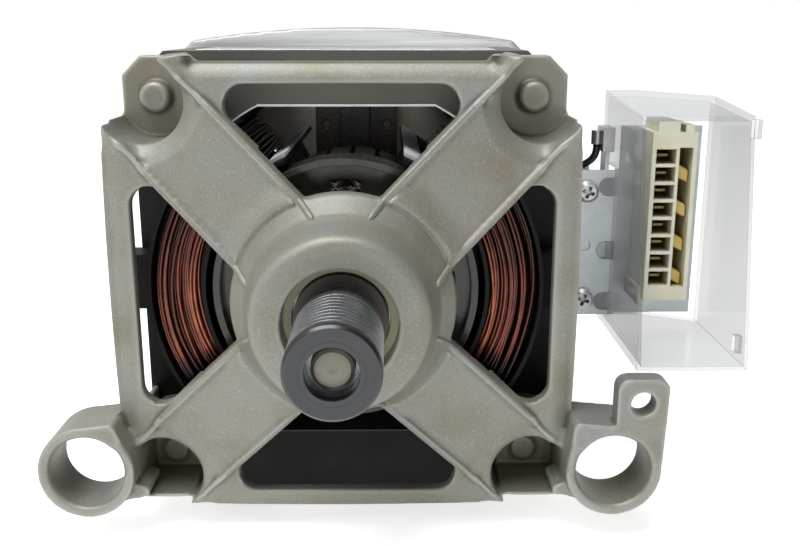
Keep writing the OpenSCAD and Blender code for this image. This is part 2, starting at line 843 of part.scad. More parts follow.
// Tube swept along a route, with triangles between its rings
module tube(route, d, sides, ups) {
    n = len(route);
    skin = [for (i = [0:n - 1]) each route_ring(route, i, d, sides, ups[i])];
    walls = [for (i = [0:n - 2], s = [0:sides - 1])
        let (a = i * sides + s, b = i * sides + (s + 1) % sides, c = a + sides, e = b + sides)
        each [[a, b, e], [a, e, c]]];
    first = [for (s = [1:sides - 2]) [0, s + 1, s]];
    last = [for (s = [1:sides - 2]) (n - 1) * sides * [1, 1, 1] + [0, s, s + 1]];
    polyhedron(points = skin, faces = [for (f = concat(walls, first, last)) [f[0], f[2], f[1]]]);
}

// Least distance between points of a route more than half a loop apart, less the tube
function route_gap(route, d) =
    min([for (i = [0:len(route) - 1], j = [i + half_steps:1:len(route) - 1]) norm(route[i] - route[j])]) - d;

module field_coil() {
    route = coil_route();
    tube(route, wire_d, wire_sides, [for (p = route) radial(p)]);
}

module left_field_coil() {
    echo(least_gap_in_coil = route_gap(coil_route(), wire_d));
    color([0.55, 0.27, 0.16]) mirror([1, 0, 0]) field_coil();
}

module right_field_coil() {
    color([0.55, 0.27, 0.16]) field_coil();
}

// Moulded bobbin round the pole neck on the +x side, with its lead block
module bobbin() {
    y0 = stack_y - flange_proud;
    len = stack_len + 2 * flange_proud;
    core_y = stack_y - core_proud;
    core_len = stack_len + 2 * core_proud;
    block_y = stack_y - lead_block_len;
    block_root = 1;
    neck_room = 1;
    color([0.07, 0.07, 0.075]) {
        difference() {
            union() {
                slab(y0, len) arc_band(bobbin_r, bobbin_r + flange_t, flange_angle);
                slab(y0, len) arc_band(bobbin_out_r - flange_t, bobbin_out_r, outer_flange_angle);
                slab(core_y, core_len) arc_band(bobbin_r, bobbin_out_r, core_angle);
                wire_stop(wind_r, inner_rear);
                wire_stop(wound_r(loop_count), inner_rear + layer_step);
            }
            slab(stack_y - soft_gap, stack_len + 2 * soft_gap)
                arc_band(bobbin_r - cut, bobbin_out_r + cut, neck_angle + neck_room);
        }
        translate([bobbin_out_r - block_root, block_y, -lead_block_h / 2])
            cube([stator_w / 2 + lead_block_out - bobbin_out_r + block_root, lead_block_len, lead_block_h]);
    }
}

// Stop that a wire end butts against, standing on the inner flange
module wire_stop(r, y) {
    translate([bobbin_r, y - layer_step / 2, -stop_half])
        cube([r + wire_d / 2 - bobbin_r, layer_step, 2 * stop_half]);
}

module left_bobbin() {
    mirror([1, 0, 0]) bobbin();
}

module right_bobbin() {
    bobbin();
}

// Shaft and what it carries

magnet_gap = 1;
fan_gap = 1.2;
commutator_gap = 3.4;
shaft_end = rear_hub_end + magnet_gap + magnet_len;
fan_y = stack_y - winding_len - fan_gap - fan_len;
commutator_y = stack_end + winding_len + commutator_gap;

module shaft() {
    tip_recess = 2.4;
    tip_round = 0.8;
    dome_h = 0.4;
    tip_y = pulley_front + tip_recess;
    tip_r = shaft_tip_d / 2;
    color([0.62, 0.62, 0.6]) turned()
        polygon([[0, tip_y], [tip_r - tip_round, tip_y + dome_h], [tip_r, tip_y + tip_round],
                 [tip_r, collar_y], [front_bore / 2, collar_y], [front_bore / 2, front_bearing_y + front_w],
                 [shaft_d / 2, front_bearing_y + front_w], [shaft_d / 2, rear_bearing_y],
                 [rear_bore / 2, rear_bearing_y], [rear_bore / 2, washer_y + washer_t],
                 [shaft_rear_d / 2, washer_y + washer_t], [shaft_rear_d / 2, shaft_end], [0, shaft_end]]);
}

module pulley() {
    r = pulley_d / 2;
    root_r = r - rib_depth;
    flank = (rib_pitch - rib_crest - rib_root) / 2;
    bore_r = shaft_tip_d / 2 + fit;
    chamfer = 0.6;
    ribs = [for (i = [0:rib_count - 1]) let (y = i * rib_pitch - rib_half)
        each [[root_r, y - rib_crest / 2 - flank], [r, y - rib_crest / 2],
              [r, y + rib_crest / 2], [root_r, y + rib_crest / 2 + flank]]];
    color([0.33, 0.33, 0.32]) turned()
        polygon(concat([[bore_r, pulley_front + recess_depth], [recess_d / 2, pulley_front + recess_depth],
                        [recess_d / 2, pulley_front], [r - chamfer, pulley_front],
                        [r, pulley_front + chamfer], [r, -land_edge], [root_r, -land_edge + flank]],
                       ribs,
                       [[root_r, land_edge - flank], [r, land_edge], [r, neck_front - chamfer],
                        [r - chamfer, neck_front], [neck_d / 2, neck_front], [neck_d / 2, collar_y],
                        [bore_r, collar_y]]));
}

module pulley_collar() {
    color([0.15, 0.15, 0.15]) ring(collar_y, collar_len, collar_d, front_bore + 2 * fit);
}

module armature_core() {
    tooth_tip = 1.6;
    slot_at = armature_d / 2 - armature_slot_d / 2 - tooth_tip;
    color([0.4, 0.39, 0.37]) slab(stack_y, stack_len) difference() {
        circle(d = armature_d);
        circle(d = shaft_d + 2 * fit);
        for (i = [0:slot_count - 1]) rotate(360 / slot_count * i) {
            translate([slot_at, 0]) circle(d = armature_slot_d);
            translate([slot_at, -armature_slot_w / 2]) square([armature_d, armature_slot_w]);
        }
    }
}

// Wound heads at both ends of the armature
module armature_windings() {
    edge = 2;
    shaft_gap = 1;
    inner = shaft_d / 2 + shaft_gap;
    outer = winding_d / 2;
    color([0.5, 0.24, 0.13]) for (y = [stack_y - winding_len, stack_end]) turned()
        polygon([[inner, y], [outer - edge, y], [outer, y + edge], [outer, y + winding_len - edge],
                 [outer - edge, y + winding_len], [inner, y + winding_len]]);
}

module cooling_fan() {
    disc_t = 2;
    disc_setback = 3.6;
    hub_wall = 5;
    opening_edge = 4;
    opening_share = 0.75;
    blade_root = 1;
    disc_y = fan_y + disc_setback;
    hub_d = shaft_d + 2 * hub_wall;
    rim_in = fan_d / 2 - fan_rim;
    blade_len = rim_in + fan_rim / 2 - hub_d / 2 + blade_root;
    opening_in = hub_d / 2 + opening_edge;
    opening_out = rim_in - opening_edge;
    color([0.2, 0.17, 0.14]) difference() {
        union() {
            ring(fan_y, fan_len, fan_d, 2 * rim_in);
            difference() {
                rod(disc_y, disc_t, 2 * rim_in + fan_rim);
                for (i = [0:blade_count / 2 - 1]) rotate([0, 720 / blade_count * i, 0])
                    slab(disc_y - cut, disc_t + 2 * cut)
                        arc_band(opening_in, opening_out, opening_share * 180 / blade_count);
            }
            rod(fan_y, fan_len, hub_d);
            for (i = [0:blade_count - 1]) rotate([0, 360 / blade_count * (i + 0.5), 0])
                translate([hub_d / 2 - blade_root, disc_y + disc_t / 2, -blade_t / 2])
                    cube([blade_len, fan_y + fan_len - disc_y - disc_t / 2, blade_t]);
        }
        rod(fan_y - cut, fan_len + 2 * cut, shaft_d + 2 * fit);
    }
}

bar_depth = 4;
commutator_core_d = commutator_d - 2 * bar_depth;

module commutator_hub() {
    hub_out = 1;
    len = commutator_len + 2 * hub_out;
    color([0.25, 0.16, 0.1])
        ring(commutator_y - hub_out, len, commutator_core_d - 2 * fit, shaft_d + 2 * fit);
}

module commutator_bars() {
    riser_len = 2.4;
    riser_h = 1.5;
    riser_d = commutator_d + 2 * riser_h;
    color([0.72, 0.45, 0.28]) difference() {
        union() {
            rod(commutator_y, commutator_len, commutator_d);
            rod(commutator_y, riser_len, riser_d);
        }
        rod(commutator_y - cut, commutator_len + 2 * cut, commutator_core_d);
        for (i = [0:bar_count - 1]) rotate([0, 360 / bar_count * i, 0])
            translate([0, commutator_y - cut, -bar_gap / 2])
                cube([riser_d, commutator_len + 2 * cut, bar_gap]);
    }
}

// Ball bearings

ball_gap = 0.12;
ring_lip = 0.32;
shield_t = 0.8;
shield_inset = 0.2;

function pitch_r(bore, od) = (bore + od) / 4;

module inner_ring(y, bore, od, w) {
    r = pitch_r(bore, od);
    color([0.75, 0.76, 0.77]) turned() difference() {
        translate([bore / 2 + fit, y]) square([r - ball_d * ring_lip - bore / 2 - fit, w]);
        translate([r, y + w / 2]) circle(ball_d / 2 + ball_gap);
    }
}

module outer_ring(y, bore, od, w) {
    r = pitch_r(bore, od);
    color([0.75, 0.76, 0.77]) turned() difference() {
        translate([r + ball_d * ring_lip, y]) square([od / 2 - fit - r - ball_d * ring_lip, w]);
        translate([r, y + w / 2]) circle(ball_d / 2 + ball_gap);
    }
}

module bearing_shields(y, bore, od, w) {
    r = pitch_r(bore, od);
    d_out = 2 * (r + ball_d * ring_lip - fit);
    d_in = 2 * (r - ball_d * ring_lip + soft_gap);
    color([0.66, 0.64, 0.58]) for (face = [y + shield_inset, y + w - shield_t - shield_inset])
        ring(face, shield_t, d_out, d_in);
}

// Balls in the drilled ribbon that spaces them
module ball_set(y, bore, od, w) {
    r = pitch_r(bore, od);
    ribbon_t = 1;
    ribbon_edge = 0.8;
    ribbon_w = ball_d + 2 * ribbon_edge;
    color([0.8, 0.8, 0.8]) {
        difference() {
            ring(y + (w - ribbon_w) / 2, ribbon_w, 2 * r + ribbon_t, 2 * r - ribbon_t);
            for (i = [0:ball_count - 1]) rotate([0, 360 / ball_count * i, 0])
                translate([0, y + w / 2, 0]) rotate([0, 90, 0]) cylinder(h = od, d = ball_d + 2 * ball_gap);
        }
        for (i = [0:ball_count - 1]) rotate([0, 360 / ball_count * i, 0])
            translate([r, y + w / 2, 0]) sphere(d = ball_d);
    }
}

module front_inner_ring() {
    inner_ring(front_bearing_y, front_bore, front_od, front_w);
}

module front_outer_ring() {
    outer_ring(front_bearing_y, front_bore, front_od, front_w);
}

module front_bearing_shields() {
    bearing_shields(front_bearing_y, front_bore, front_od, front_w);
}

module front_ball_set() {
    ball_set(front_bearing_y, front_bore, front_od, front_w);
}

module rear_inner_ring() {
    inner_ring(rear_bearing_y, rear_bore, rear_od, rear_w);
}

module rear_outer_ring() {
    outer_ring(rear_bearing_y, rear_bore, rear_od, rear_w);
}

module rear_bearing_shields() {
    bearing_shields(rear_bearing_y, rear_bore, rear_od, rear_w);
}

module rear_ball_set() {
    ball_set(rear_bearing_y, rear_bore, rear_od, rear_w);
}

// Cream ring in the mouth of the front hub, round the collar
module dust_seal() {
    inset = 1.8;
    color([0.85, 0.83, 0.7])
        ring(collar_y + inset, collar_len - inset - soft_gap, hub_bore_d - 2 * fit, collar_d + 2 * soft_gap);
}

module wave_washer() {
    edge_gap = 0.5;
    band_w = 3.5;
    d_out = rear_od - 2 * edge_gap;
    color([0.6, 0.6, 0.6]) ring(washer_y, washer_t, d_out, d_out - 2 * band_w);
}

// Rear shield

post_d = 9;
wing_edge = 6;
wing_right = bracket_screw_x + wing_edge;
thread_room = 1;
feet_half = frame_half - frame_bow / 2;

module rim_outline() {
    intersection() {
        translate([-stator_w / 2, -feet_half]) square([stator_w, feet_half + rim_top]);
        translate([0, rim_top - rim_arch_r]) circle(rim_arch_r, $fn = 400);
        rotate(45) square((2 * lug_half - lug_cut) * sqrt(2), center = true);
    }
}

module rear_shield() {
    cup_in = cup_r - cup_wall;
    wing_z = [lower_screw_z - post_d / 2, upper_screw_z + post_d / 2];
    window_edge = 3;
    window_y = rim_y + rim_t + window_edge;
    window_len = cup_depth - 2 * window_edge;
    opening_in = rear_hub_d / 2 + 3;
    opening_out = cup_in - 1;
    opening_angle = 40;
    shaft_room = 1;
    post_y = bracket_y + sheet_t;
    color([0.55, 0.55, 0.51]) difference() {
        union() {
            slab(rim_y, rim_t) {
                rim_outline();
                translate([cup_r, wing_z[0]]) square([wing_right - cup_r, wing_z[1] - wing_z[0]]);
            }
            rod(rim_y, end_y + end_t - rim_y, 2 * cup_r);
            rod(end_y, rear_hub_end - end_y, rear_hub_d);
            for (z = screw_zs) translate([bracket_screw_x, 0, z]) rod(post_y, rim_y - post_y + cut, post_d);
        }
        rod(rim_y - cut, end_y - rim_y + cut, 2 * cup_in);
        for (i = [0:3]) rotate([0, 90 * i, 0])
            translate([0, window_y, -cup_window / 2]) cube([2 * cup_r, window_len, cup_window]);
        for (turn = [0, 180]) rotate([0, turn, 0])
            slab(end_y - cut, end_t + 2 * cut) arc_band(opening_in, opening_out, opening_angle);
        rod(end_y - cut, washer_y + washer_t - end_y + cut, rear_od);
        rod(end_y, rear_hub_end, rear_bore + 2 * shaft_room);
        for (c = corners) translate([c[0] * screw_at, 0, c[1] * screw_at])
            rod(rim_y - cut, rim_t + 2 * cut, screw_d + 2 * soft_gap);
        for (c = corners) translate([c[0] * holder_screw_x, 0, c[1] * holder_screw_z])
            rod(end_y - cut, end_t + 2 * cut, holder_screw_d + 2 * slack);
        for (z = screw_zs) translate([bracket_screw_x, 0, z])
            rod(bracket_y, bracket_screw_len + thread_room, bracket_screw_d + 2 * slack);
    }
}

// Brushes and holders, above and below the commutator

brush_shift = 1;
holder_gap = 3.2;
foot_edge = 3.5;
holder_screw_out = 14;
brush_y = commutator_y + commutator_len / 2 + brush_shift;
brush_in = commutator_d / 2 + soft_gap;
brush_end = brush_in + brush_len;
holder_end = brush_end + spring_room + holder_wall;
holder_start = brush_in + holder_gap;
holder_screw_x = foot_w / 2 - foot_edge;
holder_screw_z = rear_hub_d / 2 + holder_screw_out;
holder_x = brush_t + 2 * slack + 2 * holder_wall;
holder_y = brush_w + 2 * slack + 2 * holder_wall;
foot_y = brush_y + holder_y / 2;

module centred_box(y, x_size, y_size, z0, z1) {
    translate([-x_size / 2, y - y_size / 2, z0]) cube([x_size, y_size, z1 - z0]);
}

module brush_holder() {
    foot_gap = 2;
    foot_bottom = rear_hub_d / 2 + foot_gap;
    foot_h = holder_end - foot_gap - foot_bottom;
    color([0.35, 0.2, 0.1]) difference() {
        union() {
            centred_box(brush_y, holder_x, holder_y, holder_start, holder_end);
            translate([-foot_w / 2, foot_y, foot_bottom]) cube([foot_w, end_y - foot_y, foot_h]);
        }
        centred_box(brush_y, holder_x - 2 * holder_wall, holder_y - 2 * holder_wall,
                    holder_start - cut, holder_end - holder_wall);
        for (side = [-1, 1]) translate([side * holder_screw_x, 0, holder_screw_z])
            rod(foot_y - cut, end_y - foot_y + 2 * cut, holder_screw_d + 2 * slack);
    }
}

module brush() {
    color([0.16, 0.16, 0.17]) difference() {
        centred_box(brush_y, brush_t, brush_w, commutator_d / 2 - cut, brush_end);
        rod(brush_y - brush_w, 2 * brush_w, 2 * brush_in);
    }
}

module brush_spring() {
    spring_gap = 0.7;
    spring_wall = 0.8;
    spring_d = min(brush_t, brush_w) - 2 * spring_gap;
    color([0.7, 0.7, 0.68]) translate([0, brush_y, brush_end]) difference() {
        cylinder(h = spring_room, d = spring_d);
        translate([0, 0, -cut]) cylinder(h = spring_room + 2 * cut, d = spring_d - 2 * spring_wall);
    }
}

module upper_brush_holder() {
    brush_holder();
}

module lower_brush_holder() {
    mirror([0, 0, 1]) brush_holder();
}

module upper_brush() {
    brush();
}

module lower_brush() {
    mirror([0, 0, 1]) brush();
}

module upper_brush_spring() {
    brush_spring();
}

module lower_brush_spring() {
    mirror([0, 0, 1]) brush_spring();
}

module holder_screws() {
    head_h = 2;
    tip_y = foot_y + soft_gap;
    color([0.75, 0.75, 0.75]) for (c = corners)
        translate([c[0] * holder_screw_x, 0, c[1] * holder_screw_z]) {
            rod(tip_y, end_y + end_t - tip_y, holder_screw_d);
            rod(end_y + end_t, head_h, 2 * holder_screw_d);
        }
}

// Speed sensor on the rear hub

sensor_over = 0.6;
cap_room = 3;

module sensor_magnet() {
    color([0.2, 0.2, 0.22]) ring(rear_hub_end + magnet_gap, magnet_len, magnet_d, shaft_rear_d + 2 * fit);
}

module sensor_coil() {
    color([0.85, 0.84, 0.8]) ring(rear_hub_end, magnet_len + sensor_over, sensor_d, sensor_in_d);
}

module sensor_cap() {
    d_in = sensor_d + 2 * slack;
    len = magnet_len + cap_room;
    color([0.12, 0.12, 0.13]) difference() {
        rod(rear_hub_end, len, d_in + 2 * cap_wall);
        rod(rear_hub_end - cut, len - cap_wall + cut, d_in);
    }
}

// Plug socket, its bracket and its hood

socket_y = bracket_y + bracket_step - socket_len;
socket_head = 7.3;
socket_foot = 4;
latch_h = 3;
body_top = cell_top + socket_head - latch_h;
socket_bottom = cells_z - socket_foot;
cell_w = 5.6;
cell_wall = 0.9;
tab_w = 6.3;
tab_top = 38;
bracket_screw_len = 9;
screw_zs = [upper_screw_z, lower_screw_z];

module connector_bracket() {
    hood_room = 1;
    upper_left = hood_left + hood_wall + hood_room;
    step_left = bracket_step_x - sheet_t;
    back_y = bracket_y + bracket_step;
    height = bracket_top - bracket_bottom;
    dimple_d = 3.4;
    hole_d = bracket_screw_d + 2 * slack;
    color([0.66, 0.69, 0.69]) difference() {
        union() {
            translate([bracket_left, bracket_y, bracket_bottom])
                cube([bracket_step_x - bracket_left, sheet_t, height]);
            translate([step_left, bracket_y, bracket_bottom]) cube([sheet_t, bracket_step + sheet_t, height]);
            translate([step_left, back_y, bracket_bottom]) cube([bracket_right - step_left, sheet_t, height]);
            translate([upper_left, back_y, bracket_bottom])
                cube([bracket_right - upper_left, sheet_t, body_top - bracket_bottom]);
            translate([tab_x, bracket_y, bracket_top - cut])
                cube([sheet_t, tab_w, tab_top - bracket_top + cut]);
        }
        for (z = screw_zs) translate([bracket_screw_x, 0, z])
            rod(bracket_y - cut, sheet_t + 2 * cut, hole_d);
        translate([bracket_screw_x, 0, (upper_screw_z + lower_screw_z) / 2])
            rod(bracket_y - cut, sheet_t / 2 + cut, dimple_d);
    }
}

module bracket_screws() {
    head_h = 2.2;
    slot_w = 1;
    slot_len = 3.6;
    slot_depth = 1.3;
    slot_turn = 20;
    head_edge = 1;
    dome_h = 1.2;
    head_r = bracket_head_d / 2;
    color([0.8, 0.81, 0.82]) for (z = screw_zs) translate([bracket_screw_x, 0, z]) difference() {
        union() {
            rod(bracket_y, bracket_screw_len, bracket_screw_d);
            translate([0, bracket_y, 0]) turned()
                polygon([[0, -head_h], [head_r - head_edge, -head_h], [head_r, -head_h + dome_h],
                         [head_r, 0], [0, 0]]);
        }
        for (turn = [slot_turn, slot_turn + 90]) rotate([0, turn, 0])
            translate([-slot_len / 2, bracket_y - head_h - cut, -slot_w / 2])
                cube([slot_len, slot_depth + cut, slot_w]);
    }
}

module socket_housing() {
    inner_w = socket_w - 2 * socket_wall;
    lock_x = socket_left + socket_wall + cell_w + cell_wall;
    latch_inset = 1.4;
    latch_w = 6;
    latch_len = socket_len - 4;
    rail_right = 3.6;
    rail_w = 2.4;
    rail_h = 2;
    key_out = 1;
    key_setback = 2.5;
    key_drop = 6;
    key_h = 5;
    color([0.86, 0.85, 0.74]) difference() {
        union() {
            translate([socket_left, socket_y, socket_bottom])
                cube([socket_w, socket_len, body_top - socket_bottom]);
            translate([socket_left + latch_inset, socket_y, body_top - cut])
                cube([latch_w, latch_len, latch_h + cut]);
            translate([socket_left + socket_w - rail_right, socket_y, body_top - cut])
                cube([rail_w, latch_len, rail_h + cut]);
            translate([socket_left - key_out, socket_y + key_setback, cells_z - key_drop])
                cube([key_out + cut, socket_len - key_setback, key_h]);
        }
        for (i = [0:contact_count - 1])
            translate([socket_left + socket_wall, socket_y - cut,
                       cells_z + i * contact_pitch + cell_wall / 2])
                cube([cell_w, cell_depth + cut, contact_pitch - cell_wall]);
        translate([lock_x, socket_y - cut, cells_z])
            cube([inner_w - cell_w - cell_wall, cell_depth + cut, contact_count * contact_pitch]);
    }
}

// Row of tongues that lock the plug, beside the cells
module socket_lock() {
    lock_x = socket_left + socket_wall + cell_w + cell_wall + slack;
    lock_w = socket_w - 2 * socket_wall - cell_w - cell_wall - 2 * slack;
    lock_t = 2;
    tongue_setback = 2.5;
    tongue_gap = 0.6;
    back = socket_y + cell_depth;
    tongue = cell_depth - tongue_setback;
    color([0.8, 0.68, 0.3]) {
        translate([lock_x, back - lock_t, cells_z + slack])
            cube([lock_w, lock_t, contact_count * contact_pitch - 2 * slack]);
        for (i = [0:2:contact_count - 1])
            translate([lock_x, back - tongue, cells_z + i * contact_pitch + tongue_gap])
                cube([lock_w, tongue, contact_pitch - 2 * tongue_gap]);
    }
}

module socket_contacts() {
    blade_w = 3;
    blade_t = 0.8;
    setback = 4;
    color([0.75, 0.66, 0.42]) for (i = [0:contact_count - 1])
        translate([socket_left + socket_wall + (cell_w - blade_w) / 2, socket_y + setback,
                   cells_z + (i + 0.5) * contact_pitch - blade_t / 2])
            cube([blade_w, cell_depth - setback, blade_t]);
}

hood_y = frame_y + hood_front;

// Side view of the hood, grown inward by t and run out past its open ends
module hood_side(t, out) {
    polygon([[hood_y - out, hood_bottom + t], [hood_y + hood_len + out, hood_bottom + t],
             [hood_y + hood_len + out, hood_top + hood_top_rise - t],
             [hood_y + hood_rake - out, hood_top - t - out * hood_top_rise / (hood_len - hood_rake)]]);
}

// Drawing in y and z, extruded along x
module across(x, w) {
    translate([x, 0, 0]) rotate([90, 0, 90]) linear_extrude(w) children();
}

module connector_hood() {
    tab_reach = 4.4;
    tab_h = 5.4;
    notch_gap = 0.6;
    back_cut = 12;
    back_start = 8;
    flare = [3.2, 2.4, 5];
    flare_edge = 1;
    tab_y = bracket_y - sheet_t;
    notch_y = bracket_y - notch_gap;
    back_y = hood_y + hood_len;
    inner_w = hood_right - hood_left - 2 * hood_wall;
    tab_zs = [upper_screw_z + 1.4, (upper_screw_z + lower_screw_z) / 2 - 1.4, lower_screw_z - 0.8];
    color([0.85, 0.88, 0.9, 0.35]) {
        difference() {
            union() {
                across(hood_left, hood_right - hood_left) hood_side(0, 0);
                for (z = [hood_top - flare[2] - flare_edge, hood_bottom + flare_edge])
                    translate([hood_right - hood_wall, hood_y + hood_rake, z]) cube(flare);
            }
            across(hood_left + hood_wall, inner_w) hood_side(hood_wall, back_cut);
            translate([hood_left - cut, notch_y, bracket_bottom - notch_gap])
                cube([hood_wall + 2 * cut, hood_len, bracket_top - bracket_bottom + 2 * notch_gap]);
            translate([0, 0, hood_bottom - cut])
                linear_extrude(hood_top + hood_top_rise - hood_bottom + 2 * cut)
                    polygon([[hood_left + back_start, back_y + cut], [hood_right + cut, back_y - back_cut],
                             [hood_right + cut, back_y + cut]]);
        }
        for (z = tab_zs) translate([hood_left - tab_reach, tab_y, z - tab_h / 2]) {
            translate([tab_h / 2, 0, 0]) cube([tab_reach + hood_wall - tab_h / 2, sheet_t, tab_h]);
            translate([tab_h / 2, sheet_t, tab_h / 2]) rotate([90, 0, 0]) cylinder(h = sheet_t, d = tab_h);
        }
    }
}

// Earth lead from the bracket tab to the side of the stack

terminal_z = 31;
terminal_h = 7;
terminal_wall = 1;
barrel_wall = 0.6;
barrel_len = 4;
lead_d = 2.2;
lead_sides = 8;
lead_steps = 7;
barrel_at = [tab_x - slack - terminal_wall - lead_d / 2, bracket_y + 2.4, terminal_z + 2];
lead_end = [stator_w / 2 + slack / 2, stack_y + 30, upper_screw_z - 7.2];
// Clear of the upper bracket post, on the side toward the stack
lead_pass = [bracket_screw_x - post_d / 2, stack_y + 28.6, upper_screw_z + post_d / 2];
lead_top = barrel_at - [0, 0, 1];
lead_foot = lead_end + [1, 0, 0];

function bezier(p, t) = pow(1 - t, 3) * p[0] + 3 * t * pow(1 - t, 2) * p[1]
    + 3 * t * t * (1 - t) * p[2] + t * t * t * p[3];
upper_bend = [lead_top, lead_top - [0, 0, 5], lead_pass + [3, -1, 3], lead_pass];
lower_bend = [lead_pass, lead_pass - [3.5, -1.2, 3.5], lead_foot + [5, 0, 0], lead_foot];
lead_route = concat([barrel_at],
                    [for (i = [0:lead_steps - 1]) bezier(upper_bend, i / lead_steps)],
                    [for (i = [0:lead_steps]) bezier(lower_bend, i / lead_steps)],
                    [lead_end]);

module earth_terminal() {
    sleeve_x = tab_x - slack - terminal_wall;
    sleeve_w = sheet_t + 2 * slack + 2 * terminal_wall;
    color([0.62, 0.63, 0.63]) difference() {
        union() {
            translate([sleeve_x, bracket_y - slack - terminal_wall, terminal_z])
                cube([sleeve_w, tab_w + 2 * slack + 2 * terminal_wall, terminal_h]);
            translate(barrel_at) cylinder(h = barrel_len, d = lead_d + 2 * barrel_wall);
        }
        translate([tab_x - slack, bracket_y - slack, terminal_z - cut])
            cube([sheet_t + 2 * slack, tab_w + 2 * slack, terminal_h + 2 * cut]);
    }
}

module earth_lead() {
    color([0.06, 0.06, 0.06]) tube(lead_route, lead_d, lead_sides, [for (p = lead_route) [0, 1, 0]]);
}

front_shield();
rear_shield();
through_screws();
stator_core();
slot_liners();
rating_plate();
left_bobbin();
right_bobbin();
left_field_coil();
right_field_coil();
shaft();
pulley();
pulley_collar();
armature_core();
armature_windings();
cooling_fan();
commutator_hub();
commutator_bars();
front_inner_ring();
rear_inner_ring();
sensor_magnet();
front_outer_ring();
front_bearing_shields();
front_ball_set();
dust_seal();
rear_outer_ring();
rear_bearing_shields();
rear_ball_set();
wave_washer();
upper_brush_holder();
lower_brush_holder();
holder_screws();
upper_brush();
lower_brush();
upper_brush_spring();
lower_brush_spring();
sensor_coil();
sensor_cap();
connector_bracket();
bracket_screws();
socket_housing();
socket_lock();
socket_contacts();
connector_hood();
earth_terminal();
earth_lead();
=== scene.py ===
import math
import random

import bpy
import numpy as np
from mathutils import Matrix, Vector


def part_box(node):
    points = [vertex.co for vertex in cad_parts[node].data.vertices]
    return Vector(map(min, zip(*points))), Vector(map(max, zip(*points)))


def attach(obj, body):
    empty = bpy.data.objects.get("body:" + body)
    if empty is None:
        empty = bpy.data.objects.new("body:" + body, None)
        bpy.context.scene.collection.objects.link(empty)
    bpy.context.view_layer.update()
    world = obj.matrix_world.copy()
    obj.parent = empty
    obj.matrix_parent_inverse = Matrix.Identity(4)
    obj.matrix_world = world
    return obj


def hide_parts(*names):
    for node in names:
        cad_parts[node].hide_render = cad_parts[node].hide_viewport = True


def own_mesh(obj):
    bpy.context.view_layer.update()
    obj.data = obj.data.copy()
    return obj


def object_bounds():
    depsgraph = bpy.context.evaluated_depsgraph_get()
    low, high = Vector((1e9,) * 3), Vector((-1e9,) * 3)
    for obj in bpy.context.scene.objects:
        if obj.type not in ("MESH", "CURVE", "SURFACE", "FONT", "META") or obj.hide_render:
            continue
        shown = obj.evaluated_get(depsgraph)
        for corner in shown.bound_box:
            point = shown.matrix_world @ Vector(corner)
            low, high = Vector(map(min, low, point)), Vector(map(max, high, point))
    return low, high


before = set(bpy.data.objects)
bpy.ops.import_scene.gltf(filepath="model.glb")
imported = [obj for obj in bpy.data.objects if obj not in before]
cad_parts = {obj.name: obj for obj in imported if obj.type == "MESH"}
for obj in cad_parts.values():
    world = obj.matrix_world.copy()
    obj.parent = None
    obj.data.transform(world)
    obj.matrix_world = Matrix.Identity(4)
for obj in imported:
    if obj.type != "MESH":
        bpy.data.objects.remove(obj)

CAD_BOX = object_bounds()
MM = 0.001
SEED = 11

# Camera, fitted to the four screw bosses of the front shield
CAMERA_AT = (11.64 * MM, -188.7 * MM, 66.24 * MM)
CAMERA_DOWN = 14.48
CAMERA_TURN = -0.59
CAMERA_LENS = 42.72
SENSOR_WIDTH = 36.0
CAMERA_CLIP = 0.01

# Direction of the dim side of the room, its level, and where the room starts and stops to dim toward it
DIM_SIDE = (0.6, -0.6, 0.53)
DIM_LEVEL = 0.25
DIM_START = -0.2
DIM_STOP = 0.7

# Light of the room on the motor, and glow of the floor where it is seen
ROOM_LIGHT = 0.5
FLOOR_GLOW = 0.72
FLOOR_SIZE = 6
FLOOR_GAP = 0.2 * MM

# Lamps: name, place, aim, size in metres and watts
LAMPS = (
    ("key", (-0.5, -0.6, 0.85), (0, 0.05, 0), 0.7, 2.0),
    ("fill", (0.1, -0.9, 0.12), (0, 0.05, -0.03), 0.3, 0.55),
    ("top", (-0.18, -0.2, 0.9), (0, 0.05, 0), 0.6, 7.2),
)

# Front shield, in mm
SCREW_AT = 49.0
FRAME_Y = 42.4
HUB_BASE_R = 28.1
POCKET_R = 10.5
ARM_HALF = 12.2
ARM_INNER = 25.1
ARM_OUTER = 61.8
ARM_RISE = 7.0
HUB_FLARE = ((22.9, 27.5), (24.0, 30.5), (27.1, 34.5), (28.1, 35.5))
HUB_RING_R = 20.5
HUB_FACE_Y = 17.8
FRONT_VOXEL = 0.4
FILLET_R = 36.0
FILLET_H = 2.2
ROLL_W = 5.0
ROLL_H = 2.8
BAR_IN = 53.2
BAR_W = 4.8
BAR_FALL = 1.0
BAR_OUT = 59.6
BAR_GAIN = 0.5
SIDE_WINDOW_HALF = 40.0
TOP_FALL = 1.2
LUG_Y = 59.0

# Beads on the arms: sizes in mm, share of the radius left at the ends, the hollow mark that sets their wear
# and painted highlight, and counts
BEAD_R = 0.85
BEAD_START = 20.5
BEAD_END = 64.5
BEAD_TAPER = 10.0
BEAD_TIP = 1.2
BEAD_THIN = 0.3
BEAD_WEAR_AND_HIGHLIGHT = -0.1
BEAD_STEPS = 60
BEAD_SIDES = 10

# Rear shield: sizes in mm, how much painted shade it gets, and how squarely the part of its rim with
# painted reflection streaks faces forward
STACK_TOP = 60.4
RIM_Y = 116.0
REAR_VOXEL = 0.7
REAR_SHADE = 0.15
RIM_FACING = 0.8
RIM_GAIN = 10

# Smoothing of cast and moulded pieces: share of the way to the middle of the neighbours, and rounds of it
FIRST_SMOOTH = 0.5
FIRST_ROUNDS = 3
FULL_SMOOTH = 0.6
WINDOW_SMOOTH = 0.2
SMOOTH_ROUNDS = 40
HOLLOW_ROUNDS = 25
LOCK_ROUNDS = 14
